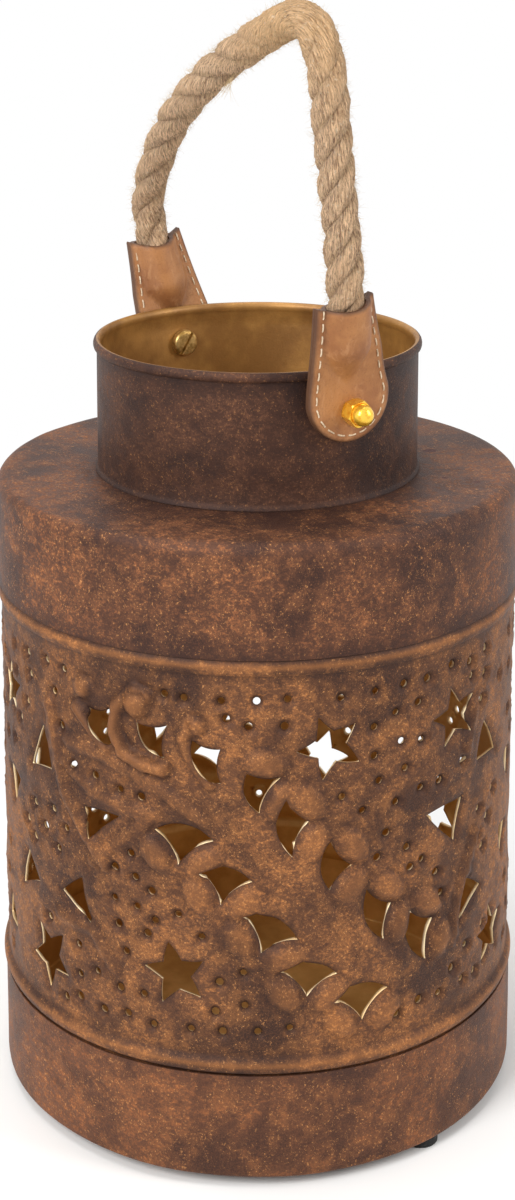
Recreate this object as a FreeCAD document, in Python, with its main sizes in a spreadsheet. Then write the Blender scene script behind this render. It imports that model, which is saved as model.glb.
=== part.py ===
import FreeCAD, Part
import math
import os
import re

import Sketcher

# Punched tin lantern: a base pan, a punched can with shoulder and neck, and a rope handle on two leather tabs.
# The frame's origin is under the middle of the feet. +X runs along the handle's pivot axis, +Z is up.

doc = FreeCAD.newDocument("punched_tin_lantern")
sheet = doc.addObject("Spreadsheet::Sheet", "sizes")

# The driving dimensions in millimetres, and angles in degrees
dimensions = {
    # Sheet metal
    "sheet_metal": 0.6,
    "pan_metal": 0.7,
    "cut_overrun": 2.0,
    # Rubber feet under the pan
    "foot_diameter": 12.0,
    "foot_height": 3.5,
    "foot_inset": 0.2,
    "foot_bearing": 11.0,
    # Base pan
    "pan_diameter": 180.8,
    "pan_height": 36.4,
    "pan_corner": 1.0,
    "pan_clearance": 0.4,
    # Punched shell
    "shell_lap": 12.0,
    "lower_bead_height": 5.4,
    "lower_bead_rise": 1.5,
    "bead_seat": 0.1,
    "punched_height": 129.0,
    "upper_bead_height": 5.2,
    "upper_bead_rise": 0.9,
    "skirt_lap": 14.0,
    # Punched pattern
    "pattern_bearing": -30.0,
    "star_reach": 11.2,
    # Shoulder cap
    "skirt_clearance": 0.1,
    "skirt_seat": 0.1,
    "cap_height": 37.4,
    "cap_corner": 4.0,
    # Neck collar
    "neck_diameter": 110.4,
    "neck_height": 45.7,
    "neck_seat": 0.05,
    "neck_spread": 0.9,
    "neck_spread_height": 1.8,
    "rim_height": 3.4,
    "rim_hem": 1.1,
    # Pivot screws and cap nuts
    "pivot_drop": 13.3,
    "screw_diameter": 4.9,
    "screw_clearance": 0.15,
    "head_diameter": 9.5,
    "head_height": 2.8,
    "head_clearance": 0.15,
    "slot_width": 1.2,
    "slot_depth": 1.3,
    "slot_turn": 28.0,
    "nut_flats": 8.0,
    "nut_hex_height": 5.0,
    "nut_height": 10.0,
    "nut_crown_diameter": 7.4,
    "nut_crown_rise": 2.6,
    "nut_tip_diameter": 3.4,
    "nut_thread_depth": 7.6,
    "nut_seat": 0.2,
    # Leather tabs
    "leaf_thickness": 1.8,
    "leaf_gap": 0.7,
    "pad_seat": 0.3,
    "pad_diameter": 15.0,
    "pivot_clearance": 0.07,
    "tab_width": 30.0,
    "tab_top_width": 22.8,
    "tab_drop": 10.0,
    "tab_rise": 39.0,
    "tab_flat": 9.0,
    "tab_lean": 8.0,
    "rope_sleeve_clearance": 0.1,
    "sleeve_toe_diameter": 2.4,
    "sleeve_toe_rise": 12.0,
    "mouth_scoop": 3.0,
    # Rope handle
    "handle_tilt": 10.0,
    "rope_diameter": 12.5,
    "rope_grip": 15.0,
}
for row, (alias, number) in enumerate(dimensions.items(), 1):
    sheet.set("A%d" % row, alias)
    sheet.set("B%d" % row, str(number))
    sheet.setAlias("B%d" % row, alias)
doc.recompute()


def bound(text):
    """The text of an expression with each size named as a cell of the sheet."""
    return re.sub(r"[a-z_]+", lambda m: "sizes." + m.group() if m.group() in dimensions else m.group(), text)


def amount(text):
    """The number that an expression on the sizes gives now."""
    found = sheet.evalExpression(bound(text))
    return float(getattr(found, "Value", found))


def bind(feature, **expressions):
    """Tie properties of a feature to the sheet; a double underscore in a name stands for a dot."""
    for name, text in expressions.items():
        feature.setExpression(name.replace("__", "."), bound(text))


def outline_sketch(body, name, role, outline):
    """A closed, fully fixed outline on one origin plane of a body, from the expressions of its corners."""
    sketch = body.newObject("Sketcher::SketchObject", name)
    plane = [part for part in body.Origin.OriginFeatures if part.Role == role][0]
    sketch.AttachmentSupport = [(plane, "")]
    sketch.MapMode = "FlatFace"
    points = [FreeCAD.Vector(amount(across), amount(up), 0) for across, up in outline]
    for index, point in enumerate(points):
        sketch.addGeometry(Part.LineSegment(points[index - 1], point))
    for index, corner in enumerate(outline):
        sketch.addConstraint(Sketcher.Constraint("Coincident", index, 2, (index + 1) % len(outline), 1))
        for kind, text in zip(("DistanceX", "DistanceY"), corner):
            number = sketch.addConstraint(Sketcher.Constraint(kind, -1, 1, index, 2, amount(text)))
            sketch.setExpression("Constraints[%d]" % number, bound(text))
    return sketch


def revolved_body(label, outline):
    """A body turned round the vertical axis from an outline of radius and height."""
    body = doc.addObject("PartDesign::Body", label)
    sketch = outline_sketch(body, label + "_outline", "XZ_Plane", outline)
    turn = body.newObject("PartDesign::Revolution", label + "_turn")
    turn.Profile = sketch
    turn.ReferenceAxis = (sketch, ["V_Axis"])
    turn.Angle = 360
    return body


# Radii and heights that several pieces share, as expressions on the sizes
pan_outside = "pan_diameter / 2"
pan_inside = "(pan_diameter / 2 - pan_metal)"
pan_edge = "(foot_height + pan_height)"
shell_outside = "(pan_diameter / 2 - pan_metal - pan_clearance)"
shell_inside = "(%s - sheet_metal)" % shell_outside
lower_bead_low = "(foot_height + pan_height + bead_seat)"
lower_bead_top = "(foot_height + pan_height + bead_seat + lower_bead_height)"
upper_bead_low = "(foot_height + pan_height + bead_seat + lower_bead_height + punched_height)"
upper_bead_top = "(%s + upper_bead_height)" % upper_bead_low
skirt_edge = "(%s + skirt_seat)" % upper_bead_top
skirt_inside = "(%s + skirt_clearance)" % shell_outside
skirt_outside = "(%s + sheet_metal)" % skirt_inside
cap_edge = "(%s + cap_height)" % skirt_edge
neck_outside = "neck_diameter / 2"
neck_inside = "(neck_diameter / 2 - sheet_metal)"
rim_top = "(%s + neck_height)" % cap_edge
rim_outside = "(neck_diameter / 2 + rim_hem)"
pivot_height = "(%s - pivot_drop)" % rim_top
leaf_inside = "(%s + leaf_gap)" % rim_outside
seam_plane = "(%s + leaf_thickness)" % leaf_inside


# Base pan: a flat floor turned up into a plain wall, with the corner eased
base_pan = revolved_body("base_pan", [
    ("0", "foot_height"),
    (pan_outside + " - pan_corner", "foot_height"),
    (pan_outside, "foot_height + pan_corner"),
    (pan_outside, pan_edge),
    (pan_inside, pan_edge),
    (pan_inside, "foot_height + pan_metal"),
    ("0", "foot_height + pan_metal"),
])

# Feet: three short rubber pads under the pan's floor, close to its edge
foot_circle = "(pan_diameter / 2 - pan_corner - foot_inset - foot_diameter / 2)"
foot_count = 3
foot_pads = []
for number in range(foot_count):
    pad = doc.addObject("Part::Cylinder", "foot_pad_%d" % (number + 1))
    bearing = "((foot_bearing + %d * 360 / %d) * 1deg)" % (number, foot_count)
    bind(pad, Radius="foot_diameter / 2", Height="foot_height")
    bind(pad, Placement__Base__x="%s * cos(%s)" % (foot_circle, bearing))
    bind(pad, Placement__Base__y="%s * sin(%s)" % (foot_circle, bearing))
    foot_pads.append(pad)
base_feet = doc.addObject("Part::Compound", "base_feet")
base_feet.Links = foot_pads


# Punched shell: a rolled sheet with a swaged bead near each end, before it is punched
rolled_shell = revolved_body("rolled_shell", [
    (shell_inside, pan_edge + " - shell_lap"),
    (shell_outside, pan_edge + " - shell_lap"),
    (shell_outside, lower_bead_low),
    (shell_outside + " + lower_bead_rise", lower_bead_low + " + lower_bead_rise"),
    (shell_outside + " + lower_bead_rise", lower_bead_top + " - lower_bead_rise"),
    (shell_outside, lower_bead_top),
    (shell_outside, upper_bead_low),
    (shell_outside + " + upper_bead_rise", upper_bead_low + " + upper_bead_height / 2"),
    (shell_outside, upper_bead_top),
    (shell_outside, upper_bead_top + " + skirt_lap"),
    (shell_inside, upper_bead_top + " + skirt_lap"),
])

# Punched pattern: one repeat covers half of the shell and is struck twice round it. Each place is a share of the
# repeat's length round the shell and of the punched band's height, counted from the repeat's middle.
star_shares = [
    # across, up, reach, and the turn as a share of one point's fifth of a circle
    (-0.388, 0.795, 0.85, 0.0),
    (-0.286, 0.136, 1.0, 0.5),
    (-0.096, 0.207, 1.0, 0.19),
    (0.083, 0.809, 1.0, 0.31),
    (0.256, 0.811, 0.95, 0.14),
    (0.348, 0.14, 0.92, 0.03),
    (-0.468, 0.36, 0.95, 0.6),
]
star_inner_share = 0.47
scale_shares = [
    # the two ends of the round edge, which bulges outward, then the tip
    ((-0.209, 0.862), (-0.173, 0.784), (-0.178, 0.873)),
    ((-0.142, 0.853), (-0.109, 0.772), (-0.104, 0.859)),
    ((-0.074, 0.826), (-0.042, 0.721), (-0.042, 0.811)),
    ((-0.012, 0.751), (0.002, 0.649), (0.026, 0.740)),
    ((0.032, 0.687), (0.039, 0.534), (0.058, 0.622)),
    ((0.085, 0.562), (0.084, 0.434), (0.111, 0.491)),
    ((0.130, 0.417), (0.152, 0.277), (0.163, 0.366)),
    ((0.186, 0.336), (0.213, 0.184), (0.223, 0.290)),
    ((-0.120, 0.584), (-0.050, 0.572), (-0.091, 0.503)),
    ((-0.066, 0.487), (-0.006, 0.469), (-0.042, 0.406)),
    ((-0.016, 0.378), (0.046, 0.312), (0.004, 0.283)),
    ((0.026, 0.230), (0.093, 0.210), (0.057, 0.157)),
    ((0.088, 0.139), (0.158, 0.142), (0.125, 0.070)),
]
scale_bulge_share = 0.2
triangle_shares = [
    ((-0.292, 0.762), (-0.318, 0.638), (-0.275, 0.655)),
    ((-0.217, 0.594), (-0.210, 0.513), (-0.166, 0.597)),
    ((-0.337, 0.383), (-0.352, 0.277), (-0.306, 0.322)),
    ((-0.258, 0.339), (-0.210, 0.286), (-0.225, 0.396)),
    ((0.280, 0.355), (0.266, 0.237), (0.317, 0.304)),
    ((0.324, 0.751), (0.307, 0.654), (0.357, 0.648)),
    ((0.211, 0.574), (0.259, 0.475), (0.272, 0.582)),
    ((-0.389, 0.577), (-0.378, 0.487), (-0.358, 0.560)),
    ((0.378, 0.407), (0.392, 0.316), (0.408, 0.398)),
    ((0.398, 0.592), (0.414, 0.520), (0.428, 0.588)),
    ((0.486, 0.560), (0.462, 0.480), (0.508, 0.475)),
    ((-0.412, 0.200), (-0.384, 0.110), (-0.434, 0.105)),
]
repeats = 2


def bulged(start, end, share):
    """An arc from one point to the next that stands out to the right of the way by a share of its chord."""
    chord = end - start
    aside = FreeCAD.Vector(chord.y, -chord.x, 0)
    return Part.Arc(start, start + chord * 0.5 + aside * share, end).toShape()


def struck(wire, across, up, round_turn):
    """A punch's solid: the outline, drawn flat about the point (across, up), set on the shell and driven through."""
    radius = amount(shell_outside)
    angle = math.radians(amount("pattern_bearing") + round_turn) + across / radius
    out = FreeCAD.Vector(math.cos(angle), math.sin(angle), 0)
    along = FreeCAD.Vector(-math.sin(angle), math.cos(angle), 0)
    depth = radius - amount("sheet_metal") - amount("cut_overrun")
    place = FreeCAD.Matrix()
    place.A11, place.A21, place.A31 = along.x, along.y, along.z
    place.A12, place.A22, place.A32 = 0, 0, 1
    place.A13, place.A23, place.A33 = out.x, out.y, out.z
    origin = out * depth + FreeCAD.Vector(0, 0, up)
    place.A14, place.A24, place.A34 = origin.x, origin.y, origin.z
    punch = Part.Face(wire).extrude(FreeCAD.Vector(0, 0, amount("sheet_metal") + 2 * amount("cut_overrun")))
    punch.Placement = FreeCAD.Placement(place)
    return punch


def polygon(points):
    """A closed outline with straight edges."""
    return Part.makePolygon(points + points[:1])


def punches():
    """Every punch of the pattern, in both of its repeats."""
    repeat = 2 * math.pi * amount(shell_outside) / repeats
    band = amount("punched_height")
    low = amount(lower_bead_top)
    made = []
    for number in range(repeats):
        turn = number * 360 / repeats
        for across, up, reach, twist in star_shares:
            tips = []
            for point in range(10):
                far = amount("star_reach") * reach * (1 if point % 2 == 0 else star_inner_share)
                angle = math.radians(90 + twist * 72 + point * 36)
                tips.append(FreeCAD.Vector(far * math.cos(angle), far * math.sin(angle), 0))
            made.append(struck(polygon(tips), across * repeat, low + up * band, turn))
        for kind, table in (("scale", scale_shares), ("triangle", triangle_shares)):
            for shares in table:
                corners = [FreeCAD.Vector(across * repeat, up * band, 0) for across, up in shares]
                middle = (corners[0] + corners[1] + corners[2]) * (1 / 3)
                corners = [corner - middle for corner in corners]
                if kind == "triangle":
                    wire = polygon(corners)
                else:
                    clockwise = (corners[1] - corners[0]).cross(corners[2] - corners[0]).z < 0
                    sign = -1 if clockwise else 1
                    wire = Part.Wire([
                        bulged(corners[0], corners[1], scale_bulge_share * sign),
                        Part.makeLine(corners[1], corners[2]),
                        Part.makeLine(corners[2], corners[0]),
                    ])
                made.append(struck(wire, middle.x, low + middle.y, turn))
    return Part.makeCompound(made)


punch_set = doc.addObject("Part::Feature", "punch_set")
punch_set.Shape = punches()
punched_shell = doc.addObject("Part::Cut", "punched_shell")
punched_shell.Base = rolled_shell
punched_shell.Tool = punch_set

# Shoulder cap: a flat plate with its edge turned down in two bends into a deep skirt that slips over the shell
bend = "cap_corner * (1 - cos(45 * 1deg))"
shoulder_cap = revolved_body("shoulder_cap", [
    (skirt_inside, skirt_edge),
    (skirt_outside, skirt_edge),
    (skirt_outside, cap_edge + " - cap_corner"),
    (skirt_outside + " - " + bend, cap_edge + " - " + bend),
    (skirt_outside + " - cap_corner", cap_edge),
    (neck_inside, cap_edge),
    (neck_inside, cap_edge + " - sheet_metal"),
    (skirt_outside + " - cap_corner", cap_edge + " - sheet_metal"),
    (skirt_inside, cap_edge + " - cap_corner"),
])

# Neck collar: a tube that stands on the plate round its hole, with a spread foot and a hemmed rim
collar_foot = "(%s + neck_seat)" % cap_edge
collar_tube = revolved_body("collar_tube", [
    (neck_inside, collar_foot),
    (neck_outside + " + neck_spread", collar_foot),
    (neck_outside, collar_foot + " + neck_spread_height"),
    (neck_outside, rim_top + " - rim_height"),
    (rim_outside, rim_top + " - rim_height"),
    (rim_outside, rim_top),
    (neck_inside, rim_top),
])
screw_bore = doc.addObject("Part::Cylinder", "screw_bore")
bind(screw_bore, Radius="screw_diameter / 2 + screw_clearance", Height="neck_diameter + 2 * cut_overrun")
screw_bore.Placement.Rotation = FreeCAD.Rotation(FreeCAD.Vector(0, 1, 0), 90)
bind(screw_bore, Placement__Base__x="-neck_diameter / 2 - cut_overrun", Placement__Base__z=pivot_height)
neck_collar = doc.addObject("Part::Cut", "neck_collar")
neck_collar.Base = collar_tube
neck_collar.Tool = screw_bore

# Pivot screws: slotted pan heads inside the neck, their shanks out through the wall and the leather
head_seat = "(sqrt(%s ^ 2 - (head_diameter / 2) ^ 2) - head_clearance)" % neck_inside
nut_face = "(%s + 2 * leaf_thickness + nut_seat)" % leaf_inside
shank_length = "(%s + nut_thread_depth - nut_seat - %s)" % (nut_face, head_seat)
screw_blank = revolved_body("screw_blank", [
    ("0", "-head_height"),
    ("head_diameter / 2", "-head_height"),
    ("head_diameter / 2", "0"),
    ("screw_diameter / 2", "0"),
    ("screw_diameter / 2", shank_length),
    ("0", shank_length),
])
screw_slot = doc.addObject("Part::Box", "screw_slot")
bind(screw_slot, Length="head_diameter + 2 * cut_overrun", Width="slot_width", Height="slot_depth + cut_overrun")
bind(screw_slot, Placement__Base__x="-head_diameter / 2 - cut_overrun", Placement__Base__y="-slot_width / 2")
bind(screw_slot, Placement__Base__z="-head_height - cut_overrun")
slotted_screw = doc.addObject("Part::Cut", "slotted_screw")
slotted_screw.Base = screw_blank
slotted_screw.Tool = screw_slot
slotted_screw.Placement.Rotation = FreeCAD.Rotation(FreeCAD.Vector(0, 1, 0), 90) * FreeCAD.Rotation(
    FreeCAD.Vector(0, 0, 1), amount("slot_turn"))
bind(slotted_screw, Placement__Base__x=head_seat, Placement__Base__z=pivot_height)


def mirrored_pair(label, piece):
    """The piece and its mirror image across the plane between the two tabs."""
    image = doc.addObject("Part::Mirroring", label + "_image")
    image.Source = piece
    image.Normal = FreeCAD.Vector(1, 0, 0)
    pair = doc.addObject("Part::Compound", label)
    pair.Links = [piece, image]
    return pair


pivot_screws = mirrored_pair("pivot_screws", slotted_screw)

# Cap nuts: a hexagon with a domed crown and a blind thread, outside each tab
nut_body = doc.addObject("PartDesign::Body", "nut_body")
nut_hex = nut_body.newObject("PartDesign::AdditivePrism", "nut_hex")
nut_hex.Polygon = 6
bind(nut_hex, Circumradius="nut_flats / sqrt(3)", Height="nut_hex_height")
nut_crown_outline = outline_sketch(nut_body, "nut_crown_outline", "XZ_Plane", [
    ("0", "0"),
    ("nut_crown_diameter / 2", "0"),
    ("nut_crown_diameter / 2", "nut_height - nut_crown_rise"),
    ("nut_tip_diameter / 2", "nut_height"),
    ("0", "nut_height"),
])
nut_crown = nut_body.newObject("PartDesign::Revolution", "nut_crown")
nut_crown.Profile = nut_crown_outline
nut_crown.ReferenceAxis = (nut_crown_outline, ["V_Axis"])
nut_crown.Angle = 360
thread_core = doc.addObject("Part::Cylinder", "thread_core")
bind(thread_core, Radius="screw_diameter / 2 + pivot_clearance", Height="nut_thread_depth + cut_overrun")
bind(thread_core, Placement__Base__z="-cut_overrun")
domed_nut = doc.addObject("Part::Cut", "domed_nut")
domed_nut.Base = nut_body
domed_nut.Tool = thread_core
domed_nut.Placement.Rotation = FreeCAD.Rotation(FreeCAD.Vector(0, 1, 0), 90)
bind(domed_nut, Placement__Base__x=nut_face, Placement__Base__z=pivot_height)
cap_nuts = mirrored_pair("cap_nuts", domed_nut)

# Leather tabs: two leaves sewn round the rope's end, flat at the pivot and leaning out over the rim above it.
# They are drawn upright about the pivot, with the front tab towards +X, and then tilted with the whole handle.
handle_turn = FreeCAD.Rotation(FreeCAD.Vector(1, 0, 0), amount("handle_tilt"))
handle_place = FreeCAD.Placement(FreeCAD.Vector(0, 0, amount(pivot_height)), handle_turn)
half_turn = FreeCAD.Rotation(FreeCAD.Vector(0, 0, 1), 180)
leaf = amount("leaf_thickness")
seam_x = amount(seam_plane)
tab_flat = amount("tab_flat")
tab_rise = amount("tab_rise")
tab_drop = amount("tab_drop")
tab_half = amount("tab_width") / 2
tab_top_half = amount("tab_top_width") / 2
overrun = amount("cut_overrun")
lean = amount("tab_lean") / (tab_rise - tab_flat)
rope_sides = 8


def seam_point(height, across=0.0, off=0.0):
    """A point of the seam between the leaves, moved outward by off."""
    return FreeCAD.Vector(seam_x + off + lean * max(height - tab_flat, 0), across, height)


def side_slab(near, far):
    """The slab between two offsets of the leaning seam, as wide as the tab and longer than it."""
    low, high = -tab_drop - overrun, tab_rise + overrun
    heights = (low, tab_flat, high)
    edge = [seam_point(height, -tab_half, near) for height in heights]
    edge += [seam_point(height, -tab_half, far) for height in reversed(heights)]
    return Part.Face(polygon(edge)).extrude(FreeCAD.Vector(0, 2 * tab_half, 0))


def tab_prism():
    """The tab's outline, round below and scooped for the rope above, drawn through both leaves."""
    back = seam_x - tab_half
    centre = tab_half - tab_drop
    corners = [
        FreeCAD.Vector(back, -tab_half, centre),
        FreeCAD.Vector(back, tab_half, centre),
        FreeCAD.Vector(back, tab_top_half, tab_rise),
        FreeCAD.Vector(back, -tab_top_half, tab_rise),
    ]
    bottom = FreeCAD.Vector(back, 0, -tab_drop)
    scoop = FreeCAD.Vector(back, 0, tab_rise - amount("mouth_scoop"))
    wire = Part.Wire([
        Part.Arc(corners[0], bottom, corners[1]).toShape(),
        Part.makeLine(corners[1], corners[2]),
        Part.Arc(corners[2], scoop, corners[3]).toShape(),
        Part.makeLine(corners[3], corners[0]),
    ])
    return Part.Face(wire).extrude(FreeCAD.Vector(2 * tab_half, 0, 0))


def ring(centre, across, aside, radius):
    """The corners of a regular outline round a point, with the rope's number of sides."""
    corners = []
    for number in range(rope_sides):
        angle = 2 * math.pi * (number + 0.5) / rope_sides
        corners.append(centre + (across * math.cos(angle) + aside * math.sin(angle)) * radius)
    return corners


def sleeve(wall):
    """The moulded form over the rope's end, tapering to nothing below it; wall is added to its radius."""
    grip = tab_rise - amount("rope_grip")
    toe = grip - amount("sleeve_toe_rise")
    radius = amount("rope_diameter") / 2 + amount("rope_sleeve_clearance") + wall
    toe_radius = amount("sleeve_toe_diameter") / 2 + wall
    way = (seam_point(grip) - seam_point(toe)).normalize()
    aside = FreeCAD.Vector(0, 1, 0)
    across = aside.cross(way)
    top = seam_point(grip) + way * (amount("rope_grip") + overrun)
    rings = [
        ring(seam_point(toe), across, aside, toe_radius),
        ring(seam_point(grip), across, aside, radius),
        ring(top, across, aside, radius),
    ]
    faces = [Part.Face(polygon(rings[0])), Part.Face(polygon(rings[-1]))]
    for low, high in zip(rings, rings[1:]):
        for number in range(rope_sides):
            faces.append(Part.Face(polygon([low[number - 1], low[number], high[number], high[number - 1]])))
    return Part.Solid(Part.Shell(faces))


def pivot_cylinder(radius, start, end):
    """A cylinder on the pivot's axis between two distances from the middle."""
    return Part.makeCylinder(radius, end - start, FreeCAD.Vector(start, 0, 0), FreeCAD.Vector(1, 0, 0))


def leather_leaf(outer):
    """One leaf: its own side of the sleeve and a flat margin, cut to the tab's outline and bored for the screw."""
    side = 1 if outer else -1
    margin = side_slab(0, side * leaf)
    shape = margin.fuse(sleeve(leaf).common(side_slab(0, side * 2 * tab_half)))
    shape = shape.common(tab_prism())
    if not outer:
        pad_low = amount("%s + pad_seat" % neck_outside)
        shape = shape.fuse(pivot_cylinder(amount("pad_diameter") / 2, pad_low, seam_x - leaf))
    shape = shape.cut(sleeve(0))
    hole = amount("screw_diameter") / 2 + amount("pivot_clearance")
    shape = shape.cut(pivot_cylinder(hole, 0, seam_x + tab_half))
    return shape.removeSplitter()


def placed(label, shape, place):
    """A piece whose form is set by code, with its own place."""
    piece = doc.addObject("Part::Feature", label)
    piece.Shape = shape
    piece.Placement = place
    return piece


def both_tabs(shape):
    """The front tab's shape and the rear tab's, which is the same one turned half round."""
    other = shape.copy()
    other.Placement = FreeCAD.Placement(FreeCAD.Vector(), half_turn)
    return Part.makeCompound([shape, other])


leather = [
    placed("tab_outer_leaves", both_tabs(leather_leaf(True)), handle_place),
    placed("tab_inner_leaves", both_tabs(leather_leaf(False)), handle_place),
]

# Rope handle: one length of laid rope from inside the front tab, up, over in a tight bend and down to the rear
# tab. The points are across and above the pivot, in the handle's own upright plane.
rope_route = [
    (62.8, 24.0),
    (69.7, 50.0),
    (72.2, 88.0),
    (76.5, 127.0),
    (66.0, 136.0),
    (43.0, 128.3),
    (4.0, 111.5),
    (-31.0, 90.5),
    (-54.5, 67.0),
    (-68.9, 47.0),
    (-62.8, 24.0),
]
arc_share = 0.45


def rope_path(points):
    """Straight runs joined by tangent arcs, each arc as large as its two runs allow."""
    corners = [FreeCAD.Vector(across, 0, height) for across, height in points]
    edges, radii, start = [], [], corners[0]
    for index in range(1, len(corners) - 1):
        before = corners[index] - corners[index - 1]
        after = corners[index + 1] - corners[index]
        turn = before.getAngle(after)
        trim = arc_share * min(before.Length, after.Length)
        radius = trim / math.tan(turn / 2)
        enter = corners[index] - before.normalize() * trim
        leave = corners[index] + after.normalize() * trim
        inward = ((enter + leave) * 0.5 - corners[index]).normalize()
        middle = corners[index] + inward * (radius / math.cos(turn / 2) - radius)
        edges.append(Part.makeLine(start, enter))
        edges.append(Part.Arc(enter, middle, leave).toShape())
        radii.append(round(radius, 1))
        start = leave
    edges.append(Part.makeLine(start, corners[-1]))
    return Part.Wire(edges), radii


rope_line, rope_radii = rope_path(rope_route)
rope_start = FreeCAD.Vector(rope_route[0][0], 0, rope_route[0][1])
rope_way = FreeCAD.Vector(rope_route[1][0], 0, rope_route[1][1]) - rope_start
rope_aside = FreeCAD.Vector(0, 1, 0)
rope_across = rope_aside.cross(rope_way).normalize()
rope_section = polygon(ring(rope_start, rope_across, rope_aside, amount("rope_diameter") / 2))
rope_tube = rope_line.makePipeShell([rope_section], True, False)
handle_rope = placed("handle_rope", rope_tube, handle_place)
rope_volume = Part.Face(rope_section).Area * rope_line.Length
print("rope arcs, radii in mm:", rope_radii)
print("rope length %.1f mm, volume over section times length %.4f" % (
    rope_line.Length, rope_tube.Volume / rope_volume))

# The pieces that are written, one file each
nodes = [
    base_pan, base_feet, punched_shell, shoulder_cap, neck_collar, pivot_screws, cap_nuts, handle_rope,
] + leather
doc.recompute()
for item in doc.Objects:
    if "Invalid" in item.State or "Error" in item.State:
        raise RuntimeError("%s did not build: %s" % (item.Label, item.State))
for node in nodes:
    if node.Shape.isNull() or not node.Shape.isValid():
        raise RuntimeError("%s has no valid shape" % node.Label)
os.makedirs("parts", exist_ok=True)
for node in nodes:
    node.Shape.exportStep("parts/%s.step" % node.Label)
    print(node.Label, len(node.Shape.Solids), "solids, %.2f cm3" % (node.Shape.Volume / 1000))
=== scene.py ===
import math
import random
import bmesh
import bpy
import numpy as np
from mathutils import Matrix, Vector, noise
from mathutils.geometry import delaunay_2d_cdt


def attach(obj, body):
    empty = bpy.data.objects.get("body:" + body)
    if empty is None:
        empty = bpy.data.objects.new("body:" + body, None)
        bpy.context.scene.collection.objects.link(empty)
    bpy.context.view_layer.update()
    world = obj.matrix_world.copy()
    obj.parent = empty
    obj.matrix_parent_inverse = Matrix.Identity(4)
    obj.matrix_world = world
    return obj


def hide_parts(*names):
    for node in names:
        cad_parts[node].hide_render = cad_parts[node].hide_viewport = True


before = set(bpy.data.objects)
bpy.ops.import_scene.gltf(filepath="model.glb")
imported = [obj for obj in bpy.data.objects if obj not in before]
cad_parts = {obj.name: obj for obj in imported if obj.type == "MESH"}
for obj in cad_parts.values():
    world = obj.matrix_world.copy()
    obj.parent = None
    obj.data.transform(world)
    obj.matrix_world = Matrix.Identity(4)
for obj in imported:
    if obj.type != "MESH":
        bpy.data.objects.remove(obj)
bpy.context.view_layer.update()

# The picture is taken from in front and above, at the level of the rope, with a long lens. The lantern
# stands on a pale table top that runs out into white, and only its own soft shadow shows there.
camera = bpy.data.objects.new("camera", bpy.data.cameras.new("camera"))
bpy.context.collection.objects.link(camera)
toward_camera = math.radians(-30)
camera_away, camera_height = 0.700, 0.420
camera.location = (
    camera_away * math.cos(toward_camera), camera_away * math.sin(toward_camera), camera_height,
)
camera.rotation_euler = (math.radians(90 - 10.39), 0, math.radians(60))
camera.data.sensor_width = 36
camera.data.lens = 62.61
camera.data.shift_y = -0.29
camera.data.clip_start = 0.01
bpy.context.scene.camera = camera


class Wire:
    """One socket of a material's node tree. Arithmetic on it adds Math nodes."""

    def __init__(self, tree, socket=None):
        self.tree = tree
        self.socket = socket

    def add(self, kind, settings=None, sockets=None, output=0):
        """One output of a new node: its settings are made first, then its sockets get values or links."""
        node = self.tree.nodes.new(kind)
        for name, setting in (settings or {}).items():
            setattr(node, name, setting)
        for name, given in (sockets or {}).items():
            if isinstance(given, Wire):
                self.tree.links.new(given.socket, node.inputs[name])
            else:
                node.inputs[name].default_value = given
        return Wire(self.tree, node.outputs[output])

    def maths(self, operation, first, second=0.0):
        """A Math node of an operation on two values."""
        return self.add("ShaderNodeMath", {"operation": operation}, {0: first, 1: second})

    def __add__(self, other):
        return self.maths("ADD", self, other)

    def __radd__(self, other):
        return self.maths("ADD", other, self)

    def __sub__(self, other):
        return self.maths("SUBTRACT", self, other)

    def __rsub__(self, other):
        return self.maths("SUBTRACT", other, self)

    def __mul__(self, other):
        return self.maths("MULTIPLY", self, other)

    def __rmul__(self, other):
        return self.maths("MULTIPLY", other, self)

    def among(self, low, high):
        """0 at low and 1 at high, with a soft step between them."""
        ranges = {"Value": self, "From Min": low, "From Max": high}
        return self.add("ShaderNodeMapRange", {"interpolation_type": "SMOOTHSTEP"}, ranges)

    def over(self, under, upper):
        """The upper colour laid over the one under it, by this mask."""
        return self.add("ShaderNodeMix", {"data_type": "RGBA"}, {0: self, 6: under, 7: upper}, 2)

    def cloud(self, size, detail=3.0, roughness=0.55, warp=0.0):
        """Noise whose blots are about as wide as size, in metres, on this vector."""
        return self.add("ShaderNodeTexNoise", None, {
            "Vector": self, "Scale": 1 / size, "Detail": detail, "Roughness": roughness, "Distortion": warp,
        })

    def stretched(self, across, along, up):
        """This vector with each of its parts multiplied."""
        return self.add("ShaderNodeVectorMath", {"operation": "MULTIPLY"}, {0: self, 1: (across, along, up)})


def shade(red, green, blue):
    """A colour as it is seen, from 0 to 255, as the linear colour that Blender takes."""
    linear = [((part / 255 + 0.055) / 1.055) ** 2.4 if part > 10 else part / 3294.6
              for part in (red, green, blue)]
    return (*linear, 1.0)


def finish_of(name, **constants):
    """A new material, the place on the object as its first wire, and its shader with constants set."""
    material = bpy.data.materials.new(name)
    material.use_nodes = True
    shader = material.node_tree.nodes["Principled BSDF"]
    for socket, number in constants.items():
        shader.inputs[socket.replace("_", " ")].default_value = number
    return material, Wire(material.node_tree).add("ShaderNodeTexCoord", None, None, 3), shader


def feed(shader, **sockets):
    """Link wires to the shader's sockets; an underscore in a name stands for a space."""
    for socket, source in sockets.items():
        source.tree.links.new(source.socket, shader.inputs[socket.replace("_", " ")])


def seen_directly(wire):
    """1 where the camera looks, also by way of shiny metal or glass, and 0 for all other light."""
    camera_ray, glossy_ray, through_ray = [wire.add("ShaderNodeLightPath", None, None, ray)
                                           for ray in (0, 3, 6)]
    return wire.maths("MAXIMUM", wire.maths("MAXIMUM", camera_ray, glossy_ray), through_ray)


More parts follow.
